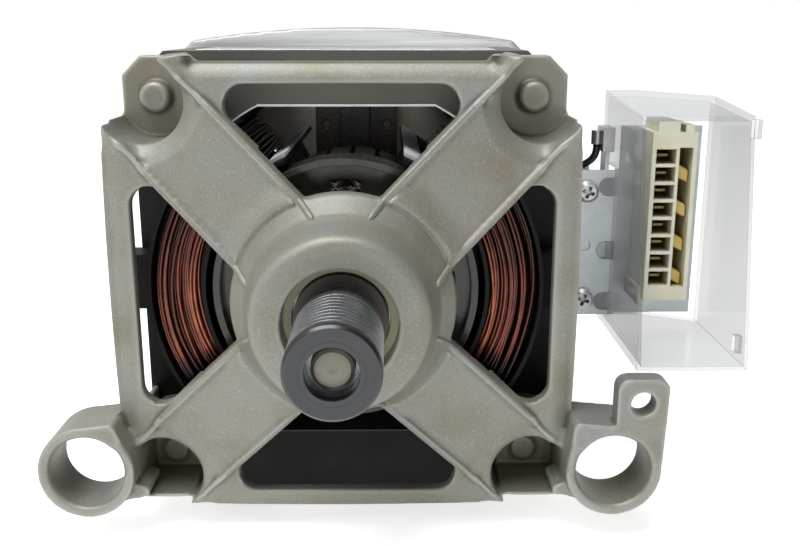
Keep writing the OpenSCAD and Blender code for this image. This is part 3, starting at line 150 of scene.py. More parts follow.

# Heights between which painted shade darkens the stack and the slot films, in mm
SHADE_FULL = 36.0
SHADE_NONE = 55.0
FILM_SHADE_FULL = -15.0
FILM_SHADE_NONE = 20.0

# Pulley, in mm
RIBS_Y = -10.2

# Plug lock: its back bar in mm, how far the tongues slant, and the size of its mesh in mm
LOCK_BAR = 2.0
LOCK_SLANT = 0.55
LOCK_VOXEL = 0.25

# Share of the clear hood that hides what is behind it, on a face, seen edge-on, and more along an edge
HAZE_FACE = 0.12
HAZE_SIDE = 0.42
HAZE_EDGE = 0.5

# Coils: sizes in mm, the angle in degrees, and counts of rows, layers and bends in a loose turn
STACK_Y = 68.0
STACK_END = 116.0
WIRE_D = 1.0
WIRE_ROWS = 9
WIRE_LAYERS = 5
WIRE_PITCH = 1.29
LAYER_PITCH = 1.08
WIND_R = 38.6
WIND_OUT_R = 49.7
WIND_ANGLE = 45.5
WIND_PROUD = 13.2
WIND_CORNER = 5.0
LOOSE_OUTSIDE = 1.1
LOOSE_INSIDE = 0.5
LOOSE_KNOTS = 9
ROW_SPREAD = 0.25
LAYER_SPREAD = 0.12
WIND_SINK = 0.2

# Points along a coil's head, corner and side, sides of its wire, and weights that ease its route
COIL_HEAD_STEPS = 12
COIL_CORNER_STEPS = 6
COIL_SIDE_STEPS = 4
COIL_SIDES = 8
COIL_EASE = (1, 2, 3, 2, 1)

# Tone of a coil's wire at the outside, where painted shade darkens it, how much it gains with depth, and
# how much it varies
TONE_OUTSIDE = 0.35
TONE_DEEP = 0.45
TONE_SPREAD = 0.22

# Painted light on the coils' wires: its level at angles in degrees above the level of the shaft, dark where
# shade falls on them
LIT_ANGLES = (-27.0, -23.0, 2.0, 40.0)
LIT_LEVELS = (0, 1, 0.85, 0.1)

# Armature heads: sizes in mm, the span in degrees, counts, shares of the bow, and lowest and highest tone
SLOTS = 24
HEAD_LAYERS = 3
HEAD_OUT_R = 26.6
HEAD_IN_R = 11.0
HEAD_SPAN = 150
HEAD_WIRE_R = 0.55
HEAD_FIRST = 1.2
HEAD_LAYER = 1.7
HEAD_SPREAD = 0.2
HEAD_GAP = 0.5
HEAD_BOW = 0.55
HEAD_LAYER_BOW = 0.15
HEAD_CLIMB = 3
HEAD_STEPS = 15
HEAD_SIDES = 6
HEAD_TONES = (0.1, 0.9)

# Brush springs: turns, closed turns at each end, radius of the wire, rise of a closed end, and counts
SPRING_TURNS = 6
SPRING_CLOSED = 0.8
SPRING_WIRE_R = 0.4 * MM
SPRING_END_RISE = 0.03
SPRING_STEPS = 20
SPRING_SIDES = 8

# Earth lead, in mm: its crimp, where it passes the bracket post, its end on the stack, its radius,
# its straight ends, the pulls that bend it, and counts
LEAD_CRIMP = (72.8, 92.4, 33.0)
LEAD_PASS = (65.7, 96.6, 23.7)
LEAD_END = (57.05, 98.0, 12.0)
LEAD_R = 1.1
LEAD_STUB = 1.0
LEAD_DROP = 5.0
LEAD_PULL_IN = (3.0, -1.0, 3.0)
LEAD_PULL_OUT = (3.5, -1.2, 3.5)
LEAD_REACH = 5.0
LEAD_UPPER_STEPS = 14
LEAD_LOWER_STEPS = 16
LEAD_SIDES = 12


def srgb(red, green, blue):
    """Linear colour from the 0 to 255 values that a screen shows."""
    def linear(value):
        share = value / 255
        return share / 12.92 if share <= 0.04045 else ((share + 0.055) / 1.055) ** 2.4
    return (linear(red), linear(green), linear(blue), 1.0)


class Finish:
    """Node material in the making: a Principled shader and the nodes that feed it."""

    def __init__(self, name, metallic=0.0, roughness=0.5, **sockets):
        self.material = bpy.data.materials.new(name)
        self.material.use_nodes = True
        self.nodes = self.material.node_tree.nodes
        self.links = self.material.node_tree.links
        self.shader = self.nodes["Principled BSDF"]
        self.shader.inputs["Metallic"].default_value = metallic
        self.shader.inputs["Roughness"].default_value = roughness
        for socket, value in sockets.items():
            self.shader.inputs[socket.replace("_", " ")].default_value = value
        self.place = self.nodes.new("ShaderNodeTexCoord").outputs["Object"]

    def node(self, kind, **inputs):
        made = self.nodes.new("ShaderNode" + kind)
        for name, value in inputs.items():
            socket = made.inputs[name.replace("_", " ")]
            if isinstance(value, bpy.types.NodeSocket):
                self.links.new(value, socket)
            else:
                socket.default_value = value
        return made

    def noise(self, size, detail=3.0, stretch=(1, 1, 1), place=None):
        """Noise whose blotches are about size mm across, drawn out along the axes by stretch."""
        scale = [1 / (size * MM * s) for s in stretch]
        mapped = self.node("Mapping", Vector=place or self.place, Scale=scale)
        made = self.node("TexNoise", Vector=mapped.outputs["Vector"], Scale=1.0, Detail=detail)
        return made.outputs["Fac"]

    def turned_place(self):
        """Place as distance from the shaft axis and distance along it, so that noise on it makes rings."""
        axes = self.node("SeparateXYZ", Vector=self.place)
        flat = self.node("CombineXYZ", X=axes.outputs["X"], Z=axes.outputs["Z"])
        length = self.node("VectorMath")
        length.operation = "LENGTH"
        self.links.new(flat.outputs["Vector"], length.inputs[0])
        return self.node("CombineXYZ", X=length.outputs["Value"], Y=axes.outputs["Y"]).outputs["Vector"]

    def span(self, source, low, high, start=0.3, end=0.7, clamp=True):
        """Value from low to high while source goes from start to end."""
        made = self.node("MapRange", Value=source, From_Min=start, From_Max=end, To_Min=low, To_Max=high)
        made.clamp = clamp
        return made.outputs["Result"]

    def tint(self, source, *colours, start=0.3, end=0.7):
        """Colour that goes through the given ones while source goes from start to end."""
        made = self.node("ValToRGB", Fac=self.span(source, 0.0, 1.0, start, end))
        stops = made.color_ramp.elements
        while len(stops) < len(colours):
            stops.new(0.5)
        for i, colour in enumerate(colours):
            stops[i].position = i / (len(colours) - 1)
            stops[i].color = colour
        return made.outputs["Color"]

    def mark(self, name):
        """Value that the mesh code has written on every point of the piece."""
        made = self.node("Attribute")
        made.attribute_name = name
        return made.outputs["Fac"]

    def height(self):
        """Distance above the shaft axis, in mm."""
        up = self.node("SeparateXYZ", Vector=self.place).outputs["Z"]
        return self.span(up, -1.0, 1.0, -MM, MM, clamp=False)

    def mix(self, share, first, second):
        made = self.nodes.new("ShaderNodeMix")
        made.data_type = "RGBA"
        sockets = {s.identifier: s for s in made.inputs}
        for key, value in (("Factor_Float", share), ("A_Color", first), ("B_Color", second)):
            if isinstance(value, bpy.types.NodeSocket):
                self.links.new(value, sockets[key])
            else:
                sockets[key].default_value = value
        return next(s for s in made.outputs if s.identifier == "Result_Color")

    def relief(self, *layers, edge=0.0):
        """Bumps of (source, depth in mm) on top of each other, on edges rounded by edge mm."""
        normal = None
        if edge:
            bevel = self.node("Bevel", Radius=edge * MM)
            bevel.samples = 6
            normal = bevel.outputs["Normal"]
        for source, depth in layers:
            bump = self.node("Bump", Height=source, Distance=depth * MM, Strength=1.0)
            if normal:
                self.links.new(normal, bump.inputs["Normal"])
            normal = bump.outputs["Normal"]
        self.links.new(normal, self.shader.inputs["Normal"])

    def feed(self, **sources):
        for socket, source in sources.items():
            self.links.new(source, self.shader.inputs[socket.replace("_", " ")])

    def on(self, *names):
        """Puts the finish on CAD nodes."""
        for name in names:
            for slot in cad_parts[name].material_slots:
                slot.material = self.material

    def over(self, piece):
        """Puts the finish on a new piece."""
        piece.data.materials.clear()
        piece.data.materials.append(self.material)


# Finishes

def cast_metal():
    """Sand-cast aluminium: warm grey and satin, with painted shade deep behind the frame and in hollows,
    lighter on edges with wear and painted highlight, and painted reflection streaks where polished.
    """
    finish = Finish("cast_aluminium", metallic=0.4)
    cloud = finish.noise(15, 5)
    grain = finish.noise(0.4, 4)
    fleck = finish.noise(0.5, 2)
    base = finish.tint(cloud, srgb(138, 134, 119), srgb(150, 148, 138), srgb(148, 151, 147))
    flecked = finish.mix(finish.span(fleck, 0.0, 0.4, 0.58, 0.74), base, srgb(200, 199, 190))
    pitted = finish.mix(finish.span(grain, 0.34, 0.0, 0.3, 0.46), flecked, srgb(112, 108, 97))
    # Painted shade on what lies deep behind the frame's face.
    deep = finish.mix(finish.span(finish.mark("depth"), 0.0, 0.4, 0.0, 1.0), pitted, srgb(112, 106, 90))
    hollow = finish.mark("hollow")
    # Painted shade in hollows.
    hollow_shade = finish.mix(finish.span(hollow, 0.0, 0.7, 0.06, 0.5), deep, srgb(66, 61, 52))
    # Lighter on edges, as wear and painted highlight.
    worn_and_highlit = finish.mix(finish.span(hollow, 0.6, 0.0, -0.35, -0.1), hollow_shade, srgb(186, 187, 182))
    # Painted reflection streaks on polished faces.
    streak = finish.tint(finish.noise(1.6, 3, (30, 1, 1)), srgb(206, 207, 207), srgb(248, 249, 250))
    polish_and_reflection = finish.mark("polish_and_reflection")
    finish.feed(Base_Color=finish.mix(polish_and_reflection, worn_and_highlit, streak),
                Metallic=finish.span(polish_and_reflection, 0.4, 0.2, 0.0, 1.0),
                Roughness=finish.span(polish_and_reflection, 0.5, 0.25, 0.0, 1.0))
    finish.relief((grain, 0.035), (finish.noise(2.2, 3), 0.05))
    return finish


def turned_metal(name, dark, light, roughness, depth=0.03):
    """Metal turned on a lathe, with fine rings round the shaft axis."""
    finish = Finish(name, metallic=0.9, roughness=roughness)
    rings = finish.noise(0.35, 3, place=finish.turned_place())
    cloud = finish.noise(6, 3)
    base = finish.mix(0.5, finish.tint(rings, dark, light), finish.tint(cloud, dark, light))
    finish.feed(Base_Color=base, Roughness=finish.span(cloud, roughness - 0.07, roughness + 0.1))
    finish.relief((rings, depth), edge=0.25)
    return finish


def pulley_steel():
    """Turned steel in a lit and a shaded copy: bright on the belt ribs, and dark and bluish with painted
    shade on the land and face in front of them.
    """
    finish = Finish("pulley_steel", metallic=0.9)
    rings = finish.noise(0.35, 3, place=finish.turned_place())
    cloud = finish.noise(5, 3)
    along = finish.node("SeparateXYZ", Vector=finish.place).outputs["Y"]
    # Lit copy on the ribs, and a darker copy with painted shade on the land and face in front of them.
    ribs = finish.mix(finish.span(cloud, 0.0, 1.0), srgb(124, 127, 131), srgb(146, 149, 152))
    shaded_front = finish.mix(finish.span(rings, 0.0, 1.0), srgb(66, 67, 69), srgb(74, 75, 77))
    rib_share = finish.span(along, 0.0, 1.0, RIBS_Y * MM, (RIBS_Y + 0.4) * MM)
    finish.feed(Base_Color=finish.mix(rib_share, shaded_front, ribs), Roughness=finish.span(cloud, 0.2, 0.32))
    finish.relief((rings, 0.006), edge=0.25)
    return finish


def sheet_metal(name, dark, light, roughness, grain=(1, 1, 1), size=5.0):
    """Rolled or plated sheet with faint cloudy patches and scratches."""
    finish = Finish(name, metallic=0.85, roughness=roughness)
    cloud = finish.noise(size, 3)
    fine = finish.noise(0.6, 4, grain)
    base = finish.mix(0.4, finish.tint(cloud, dark, light), finish.tint(fine, dark, light))
    finish.feed(Base_Color=base, Roughness=finish.span(fine, roughness - 0.08, roughness + 0.08))
    finish.relief((fine, 0.02), edge=0.2)
    return finish


def laminated_steel():
    """Edges of stacked steel sheets, with a line at every sheet, and painted shade that turns them nearly
    black toward the bottom.
    """
    finish = Finish("laminated_steel", metallic=0.5)
    sheets = finish.noise(0.6, 1, (60, 1, 60))
    cloud = finish.noise(9, 4)
    base = finish.mix(0.5, finish.tint(sheets, srgb(84, 84, 78), srgb(120, 120, 112)),
                      finish.tint(cloud, srgb(92, 92, 85), srgb(112, 111, 103)))
    # Painted shade below the top of the stack.
    shade_by_height = finish.span(finish.height(), 0.97, 0.0, SHADE_FULL, SHADE_NONE)
    finish.feed(Base_Color=finish.mix(shade_by_height, base, srgb(9, 8, 8)), Roughness=finish.span(cloud, 0.4, 0.6))
    finish.relief((sheets, 0.12), (finish.noise(0.5, 3), 0.03))
    return finish


def plastic(name, dark, light, roughness, grain=0.5, depth=0.03, edge=0.3, **sockets):
    """Moulded plastic with a slightly uneven tone and a fine moulded grain."""
    finish = Finish(name, roughness=roughness, **sockets)
    cloud = finish.noise(7, 3)
    fine = finish.noise(grain, 3)
    finish.feed(Base_Color=finish.tint(cloud, dark, light),
                Roughness=finish.span(fine, roughness - 0.08, roughness + 0.08))
    finish.relief((fine, depth), edge=edge)
    return finish


def slot_film():
    """White insulating film, with painted shade that turns it black in the lower half of the motor."""
    finish = Finish("slot_film")
    cloud = finish.noise(7, 3)
    white = finish.tint(cloud, srgb(222, 222, 226), srgb(246, 246, 248))
    # Painted shade in the lower half.
    film_shade_by_height = finish.span(finish.height(), 0.94, 0.0, FILM_SHADE_FULL, FILM_SHADE_NONE)
    finish.feed(Base_Color=finish.mix(film_shade_by_height, white, srgb(30, 29, 28)),
                Roughness=finish.span(cloud, 0.3, 0.45))
    finish.relief((finish.noise(0.5, 3), 0.03))
    return finish


def screw_zinc():
    """Bright zinc, with painted shade that turns the recess of a screw's head black."""
    finish = Finish("zinc_screw", metallic=0.5)
    cloud = finish.noise(1.5, 3)
    # Painted shade in recesses, from ambient occlusion.
    hidden = finish.node("AmbientOcclusion", Distance=1.4 * MM)
    hidden.samples = 6
    light = finish.tint(cloud, srgb(198, 200, 200), srgb(226, 227, 226))
    shade = finish.mix(finish.span(hidden.outputs["AO"], 0.0, 1.0, 0.3, 0.62), srgb(30, 30, 28), light)
    finish.feed(Base_Color=shade, Roughness=finish.span(cloud, 0.28, 0.42))
    finish.relief((cloud, 0.01), edge=0.2)
    return finish


def socket_nylon():
    """Cream nylon, with painted shade that turns it olive brown in the depth of the cells."""
    finish = Finish("cream_nylon", roughness=0.42, Subsurface_Weight=0.25, Subsurface_Scale=1.2 * MM)
    cloud = finish.noise(7, 3)
    fine = finish.noise(0.5, 3)
    light = finish.tint(cloud, srgb(240, 237, 208), srgb(252, 250, 232))
    # Painted shade in the depth of the cells, from ambient occlusion.
    hidden = finish.node("AmbientOcclusion", Distance=5 * MM)
    hidden.samples = 6
    shade = finish.mix(finish.span(hidden.outputs["AO"], 0.0, 1.0, 0.1, 0.6), srgb(124, 106, 58), light)
    finish.feed(Base_Color=shade, Roughness=finish.span(fine, 0.34, 0.5))
    finish.relief((fine, 0.03), edge=0.3)
    return finish


def copper_wire(name, dark, middle, bright):
    """Enamelled copper wire, each strand a little different in tone; on the field coils the tone also holds
    painted light and shade.
    """
    finish = Finish(name, metallic=0.75, roughness=0.34, Coat_Weight=0.5, Coat_Roughness=0.18)
    tone = finish.tint(finish.mark("strand"), dark, middle, bright, start=0.0, end=1.0)
    patch = finish.noise(4, 3)
    finish.feed(Base_Color=finish.mix(finish.span(patch, 0.0, 0.45), tone, dark),
                Roughness=finish.span(patch, 0.26, 0.42))
    finish.relief((finish.noise(0.5, 2), 0.02))
    return finish


def clear_plastic():
    """Thin clear moulding: faint smears on its faces, denser on faces seen edge-on and along its edges."""
    finish = Finish("clear_plastic", roughness=0.12)
    smear = finish.noise(14, 3, (1, 1, 2.5))
    facing = finish.node("LayerWeight", Blend=0.5).outputs["Facing"]
    rounded = finish.node("Bevel", Radius=0.3 * MM)
    rounded.samples = 8
    flat = finish.node("VectorMath")
    flat.operation = "DOT_PRODUCT"
    finish.links.new(rounded.outputs["Normal"], flat.inputs[0])
    finish.links.new(finish.node("NewGeometry").outputs["Normal"], flat.inputs[1])
    edge = finish.span(flat.outputs["Value"], 1.0, 0.0, 0.75, 0.995)
    haze = finish.node("Math")
    haze.operation = "MULTIPLY_ADD"
    haze.inputs[1].default_value = HAZE_EDGE
    finish.links.new(edge, haze.inputs[0])
    finish.links.new(finish.span(facing, HAZE_FACE, HAZE_SIDE, 0.1, 0.8), haze.inputs[2])
    face = finish.tint(smear, srgb(126, 132, 140), srgb(150, 155, 162))
    side = finish.mix(finish.span(facing, 0.0, 1.0, 0.1, 0.8), face, srgb(158, 162, 166))
    finish.feed(Base_Color=finish.mix(edge, side, srgb(122, 130, 140)),
                Roughness=finish.span(smear, 0.06, 0.16), Alpha=haze.outputs["Value"])
    finish.relief((finish.noise(25, 1), 0.1))
    return finish


def silver_plate():
    """Bare polished plate with streaks across the motor."""
    finish = Finish("silver_plate", metallic=1.0, roughness=0.16)
    streak = finish.noise(2.2, 3, (14, 1, 1))
    finish.feed(Base_Color=finish.tint(streak, srgb(156, 157, 157), srgb(212, 214, 216)),
                Roughness=finish.span(streak, 0.08, 0.26))
    finish.relief((finish.noise(9, 2, (3, 1, 1)), 0.16), edge=0.2)
    return finish


# Meshes

def piece_of(name, points, faces, body):
    """New smooth-shaded piece in metres that rides on a body."""
    mesh = bpy.data.meshes.new(name)
    mesh.from_pydata([tuple(p) for p in points], [], [tuple(f) for f in faces])
    mesh.update()
    mesh.shade_smooth()
    piece = bpy.data.objects.new(name, mesh)
    bpy.context.scene.collection.objects.link(piece)
    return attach(piece, body)


def tube(route, radius, sides, ups):
    """Points and faces of a round rod along a route, with ups to keep its rings from twisting."""
    route = np.asarray(route, float)
    radius = np.broadcast_to(radius, len(route))[:, None, None]
    along = np.gradient(route, axis=0)
    along /= np.linalg.norm(along, axis=1)[:, None]
    across = ups - along * (ups * along).sum(1)[:, None]
    across /= np.linalg.norm(across, axis=1)[:, None]
    third = np.cross(along, across)
    turn = np.arange(sides) / sides * 2 * math.pi
    ring = np.cos(turn)[None, :, None] * across[:, None] + np.sin(turn)[None, :, None] * third[:, None]
    points = (route[:, None] + radius * ring).reshape(-1, 3)
    last = (len(route) - 1) * sides
    faces = []
    for ring_start in range(0, last, sides):
        for side in range(sides):
            here = ring_start + side
            beside = ring_start + (side + 1) % sides
            faces.append((here, beside, beside + sides, here + sides))
    faces.append(tuple(range(sides - 1, -1, -1)))
    faces.append(tuple(range(last, last + sides)))
    return points, faces


def strands_piece(name, routes, radius, sides, ups_of, tones, body):
    """Piece made of several rods, with a tone for every point of each."""
    points, faces, strand = [], [], []
    for route, tone in zip(routes, tones):
        rod_points, rod_faces = tube(route, radius, sides, ups_of(route))
        first = sum(len(p) for p in points)
        faces += [[k + first for k in f] for f in rod_faces]
        points.append(rod_points)
        strand.append(np.repeat(np.broadcast_to(tone, len(route)), sides))
    piece = piece_of(name, np.concatenate(points), faces, body)
    mark(piece.data, "strand", np.concatenate(strand))
    return piece


def from_axis(route):
    """Direction away from the shaft axis at each point of a route."""
    return np.asarray(route) * (1, 0, 1)


def along_axis(route):
    """Direction of the shaft axis at each point of a route."""
    return np.broadcast_to((0.0, 1.0, 0.0), np.shape(route))


def half_loop(top, bend, front, rear):
    """Angle and y along half a loop, from the middle of the rear head to the middle of the front one."""
    head = np.linspace(0, top - bend, COIL_HEAD_STEPS, endpoint=False)
    turn = np.linspace(0, math.pi / 2, COIL_CORNER_STEPS, endpoint=False)
    middle = (front + rear) / 2
    side = np.linspace(rear - WIND_CORNER, middle, COIL_SIDE_STEPS)
    angle = np.concatenate([head, top - bend + bend * np.sin(turn), np.full(COIL_SIDE_STEPS, top)])
    y = np.concatenate([np.full(COIL_HEAD_STEPS, rear), rear - WIND_CORNER * (1 - np.cos(turn)), side])
    return (np.concatenate([angle, angle[-2::-1]]), np.concatenate([y, 2 * middle - y[-2::-1]]))


def coil_route(draw):
    """One wire wound round the right-hand pole, layer by layer, with a tone for every point that holds
    painted light and shade.
    """
    points, tones = [], []
    for layer in range(WIRE_LAYERS):
        rows = list(range(WIRE_ROWS))[::1 if layer % 2 == 0 else -1]
        for row in rows:
            r = WIND_R + row * WIRE_PITCH + draw.uniform(-ROW_SPREAD, ROW_SPREAD)
            out = layer * LAYER_PITCH + draw.uniform(-LAYER_SPREAD, LAYER_SPREAD)
            top = math.radians(WIND_ANGLE) + out / r
            front = STACK_Y - WIND_PROUD - out
            rear = STACK_END + WIND_PROUD + out
            angle, y = half_loop(top, WIND_CORNER / r, front, rear)
            angle = np.concatenate([angle, -angle[-2:0:-1]])
            y = np.concatenate([y, y[-2:0:-1]])
            loose = LOOSE_OUTSIDE if layer == WIRE_LAYERS - 1 else LOOSE_INSIDE
            knots = [draw.uniform(-loose, loose) for _ in range(LOOSE_KNOTS)]
            share = np.linspace(0, LOOSE_KNOTS, len(angle))
            wander = np.interp(share, range(LOOSE_KNOTS + 1), knots + knots[:1])
            radius = np.clip(r + wander, WIND_R - WIND_SINK, WIND_OUT_R)
            points.append(np.stack([radius * np.cos(angle), y, radius * np.sin(angle)], 1))
            # Painted shade on the outer layers, and painted light and shade by angle.
            depth = (WIND_OUT_R - radius) / (WIND_OUT_R - WIND_R)
            lit = np.interp(np.degrees(angle), LIT_ANGLES, LIT_LEVELS)
            tone = TONE_OUTSIDE + TONE_DEEP * depth + draw.uniform(-TONE_SPREAD, TONE_SPREAD)
            tones.append(lit * np.clip(tone, 0, 1))
    route = np.concatenate(points)
    weights = np.array(COIL_EASE) / sum(COIL_EASE)
    beyond = len(COIL_EASE) // 2
    padded = np.pad(route, ((beyond, beyond), (0, 0)), mode="edge")
    smooth = np.stack([np.convolve(padded[:, k], weights, mode="valid") for k in range(3)], 1)
    return smooth, np.concatenate(tones)


def field_coils(wire):
    """Both field coils, each one long wire."""
    for name, side in (("right_field_coil", 1), ("left_field_coil", -1)):
        route, tone = coil_route(random.Random(SEED + side))
        route = route * (side, 1, 1) * MM
        wire_r = WIRE_D / 2 * MM
        coil = strands_piece(name + "_wire", [route], wire_r, COIL_SIDES, from_axis, [tone], "motor_frame")
        wire.over(coil)
        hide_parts(name)


def armature_heads(wire):
    """Strands that cross from slot to slot at both ends of the armature."""
    draw = random.Random(SEED)
    routes, tones = [], []
    for y, away in ((STACK_Y, -1), (STACK_END, 1)):
        for layer in range(HEAD_LAYERS):
            for slot in range(SLOTS):
                start = 2 * math.pi * slot / SLOTS
                share = np.linspace(0, 1, HEAD_STEPS)
                turn = start + share * math.radians(HEAD_SPAN)
                bow = np.sin(share * math.pi)
                r = HEAD_OUT_R - (HEAD_OUT_R - HEAD_IN_R) * bow * (HEAD_BOW + HEAD_LAYER_BOW * layer)
                proud = HEAD_FIRST + HEAD_LAYER * layer + draw.uniform(-HEAD_SPREAD, HEAD_SPREAD)
                out = y + away * (np.minimum(1, bow * HEAD_CLIMB) * proud + HEAD_GAP)
                routes.append(np.stack([r * np.cos(turn), out, r * np.sin(turn)], 1) * MM)
                tones.append(draw.uniform(*HEAD_TONES))
    wire_r = HEAD_WIRE_R * MM
    heads = strands_piece("armature_wire", routes, wire_r, HEAD_SIDES, along_axis, tones, "rotor")
    wire.over(heads)
    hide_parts("armature_windings")


def brush_springs(steel):
    """Coil springs that push the brushes."""
    for name, joint, up in (("upper_brush_spring", "upper_brush_slide", 1),
                            ("lower_brush_spring", "lower_brush_slide", -1)):
        low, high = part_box(name)
        coil_r = (high.x - low.x) / 2 - SPRING_WIRE_R
        turn = np.linspace(0, SPRING_TURNS * 2 * math.pi, SPRING_TURNS * SPRING_STEPS)
        wound = np.linspace(0, SPRING_TURNS, len(turn))
        knots = [0, SPRING_CLOSED, SPRING_TURNS - SPRING_CLOSED, SPRING_TURNS]
        rise = np.interp(wound, knots, [0, SPRING_END_RISE, 1 - SPRING_END_RISE, 1])
        z = low.z + SPRING_WIRE_R + rise * (high.z - low.z - 2 * SPRING_WIRE_R)
        middle = (low + high) / 2
        route = np.stack([middle.x + coil_r * np.cos(turn), middle.y + coil_r * np.sin(turn), z], 1)
        ups = np.stack([np.cos(turn), np.sin(turn), np.zeros(len(turn))], 1)
        points, faces = tube(route, SPRING_WIRE_R, SPRING_SIDES, ups)
        spring = piece_of(name + "_coil", points, faces, "motor_frame")
        steel.over(spring)
        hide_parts(name)
        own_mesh(spring)


def bezier(corners, steps):
    """Points of a smooth curve from the first corner to the last, drawn toward the two between them."""
    t = np.linspace(0, 1, steps)[:, None]
    a, b, c, d = (np.asarray(corner, float) for corner in corners)
    return (1 - t) ** 3 * a + 3 * t * (1 - t) ** 2 * b + 3 * t ** 2 * (1 - t) * c + t ** 3 * d


def earth_lead(insulation):
    """Short black lead from the crimp on the bracket tab to the side of the stack."""
    crimp, over_post, end = np.array((LEAD_CRIMP, LEAD_PASS, LEAD_END))
    top = crimp - (0, 0, LEAD_STUB)
    below_top = top - (0, 0, LEAD_DROP)
    foot = end + (LEAD_STUB, 0, 0)
    beside_foot = foot + (LEAD_REACH, 0, 0)
    upper = bezier((top, below_top, over_post + LEAD_PULL_IN, over_post), LEAD_UPPER_STEPS)
    lower = bezier((over_post, over_post - LEAD_PULL_OUT, beside_foot, foot), LEAD_LOWER_STEPS)
    route = np.concatenate([[crimp], upper, lower[1:], [end]]) * MM
    points, faces = tube(route, LEAD_R * MM, LEAD_SIDES, along_axis(route))
    lead = piece_of("earth_lead_wire", points, faces, "motor_frame")
    insulation.over(lead)
    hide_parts("earth_lead")


def settled(mesh, at, weights, rounds):
    """Places of the vertices once each has moved toward the middle of its neighbours, rounds times."""
    at = at.copy()
    pairs = np.zeros(len(mesh.edges) * 2, np.int32)
    mesh.edges.foreach_get("vertices", pairs)
    first, second = pairs.reshape(-1, 2).T
    degree = np.bincount(pairs, minlength=len(at))[:, None]
    for _ in range(rounds):
        total = np.stack([np.bincount(first, at[second, k], len(at)) for k in range(3)], 1)
        total += np.stack([np.bincount(second, at[first, k], len(at)) for k in range(3)], 1)
        at += weights * (total / degree - at)
    return at


def place_all(mesh, at):
    """Moves the vertices to places in mm."""
    mesh.vertices.foreach_set("co", (at * MM).ravel())
    mesh.update()


def mark(mesh, name, values):
    """Writes a value on every point, for the finish to read."""
    attribute = mesh.attributes.new(name, "FLOAT", "POINT")
    attribute.data.foreach_set("value", np.asarray(values, np.float32))


def mark_casting(mesh, at, depth, polish_and_reflection):
    """Marks what lies deep, what is polished, and by how many mm a point lies in a hollow or on an edge,
    for painted shade, painted reflection streaks and the painted highlight of worn edges.
    """
    normals = np.zeros(len(at) * 3)
    mesh.vertex_normals.foreach_get("vector", normals)
    level = settled(mesh, at, FULL_SMOOTH, HOLLOW_ROUNDS)
    mark(mesh, "hollow", ((level - at) * normals.reshape(-1, 3)).sum(1))
    mark(mesh, "depth", depth)
    mark(mesh, "polish_and_reflection", polish_and_reflection)


def cast_piece(node, voxel, metal):
    """Copy of a cast CAD node with edges rounded as a sand casting has them."""
    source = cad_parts[node]
    rough = bpy.data.objects.new(node + "_rough", source.data.copy())
    bpy.context.scene.collection.objects.link(rough)
    remesh = rough.modifiers.new("remesh", "REMESH")
    remesh.mode = "VOXEL"
    remesh.voxel_size = voxel * MM
    graph = bpy.context.evaluated_depsgraph_get()
    mesh = bpy.data.meshes.new_from_object(rough.evaluated_get(graph))
    bpy.data.objects.remove(rough)
    mesh.name = node + "_casting"
    mesh.shade_smooth()
    piece = bpy.data.objects.new(node + "_casting", mesh)
    bpy.context.scene.collection.objects.link(piece)
    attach(piece, "motor_frame")
    metal.over(piece)
    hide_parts(node)
    return piece


def places(mesh):
    """Places of the vertices, in mm."""
    at = np.zeros(len(mesh.vertices) * 3)
    mesh.vertices.foreach_get("co", at)
    return at.reshape(-1, 3) / MM


def near(value, low, high, fade):
    """1 between low and high, fading to 0 over fade beyond them."""
    return np.clip(np.minimum(value - low, high - value) / fade + 1, 0, 1)


def front_measures(at):
    """Distances from the shaft axis, the nearest screw and the nearest arm's middle, and square reach."""
    x, _, z = at.T
    from_shaft = np.hypot(x, z)
    from_screw = np.hypot(abs(x) - SCREW_AT, abs(z) - SCREW_AT)
    across = abs(abs(x) - abs(z)) / math.sqrt(2)
    return from_shaft, from_screw, across, np.maximum(abs(x), abs(z))


def roll_front(at, r, from_screw, across, out):
    """Hollow fillets at the hub, rolled pocket edges, rounded bars, and side bars a little wider inward."""
    x, y, z = at.T
    in_arm = near(across, 0, ARM_HALF - 2.5, 0.8)
    hollow = np.clip((FILLET_R - r) / (FILLET_R - HUB_BASE_R), 0, 1) ** 2 * in_arm
    y -= FILLET_H * (hollow * near(y, FRAME_Y - ARM_RISE - 1, FRAME_Y - 2, 0.5) * (r > HUB_BASE_R))
    on_arm = arm_surface((abs(x) + abs(z)) / math.sqrt(2))
    roll = np.clip((POCKET_R + ROLL_W - from_screw) / ROLL_W, 0, 1) ** 2
    rolled = in_arm * near(y, FRAME_Y - 4, FRAME_Y + 4, 1) * (roll * z > 0)
    y += np.maximum(on_arm + ROLL_H * roll - y, 0) * rolled
    fall = np.where(z > abs(x), BAR_FALL + TOP_FALL, BAR_FALL)
    fall *= np.clip((out - BAR_IN) / BAR_W, 0, 1) ** 2 * (1 - near(across, 0, ARM_HALF, 3))
    on_bar = near(y, FRAME_Y - 0.6, FRAME_Y + 3, 0.2) * near(out, 0, BAR_OUT, 0.3)
    y += np.maximum(FRAME_Y + fall - y, 0) * on_bar
    inner = near(abs(x), BAR_IN - 2.5, BAR_IN + 0.5, 1) * near(abs(z), 0, SIDE_WINDOW_HALF, 4)
    x -= np.sign(x) * BAR_GAIN * inner * near(y, FRAME_Y - 2, FRAME_Y + 12, 1)


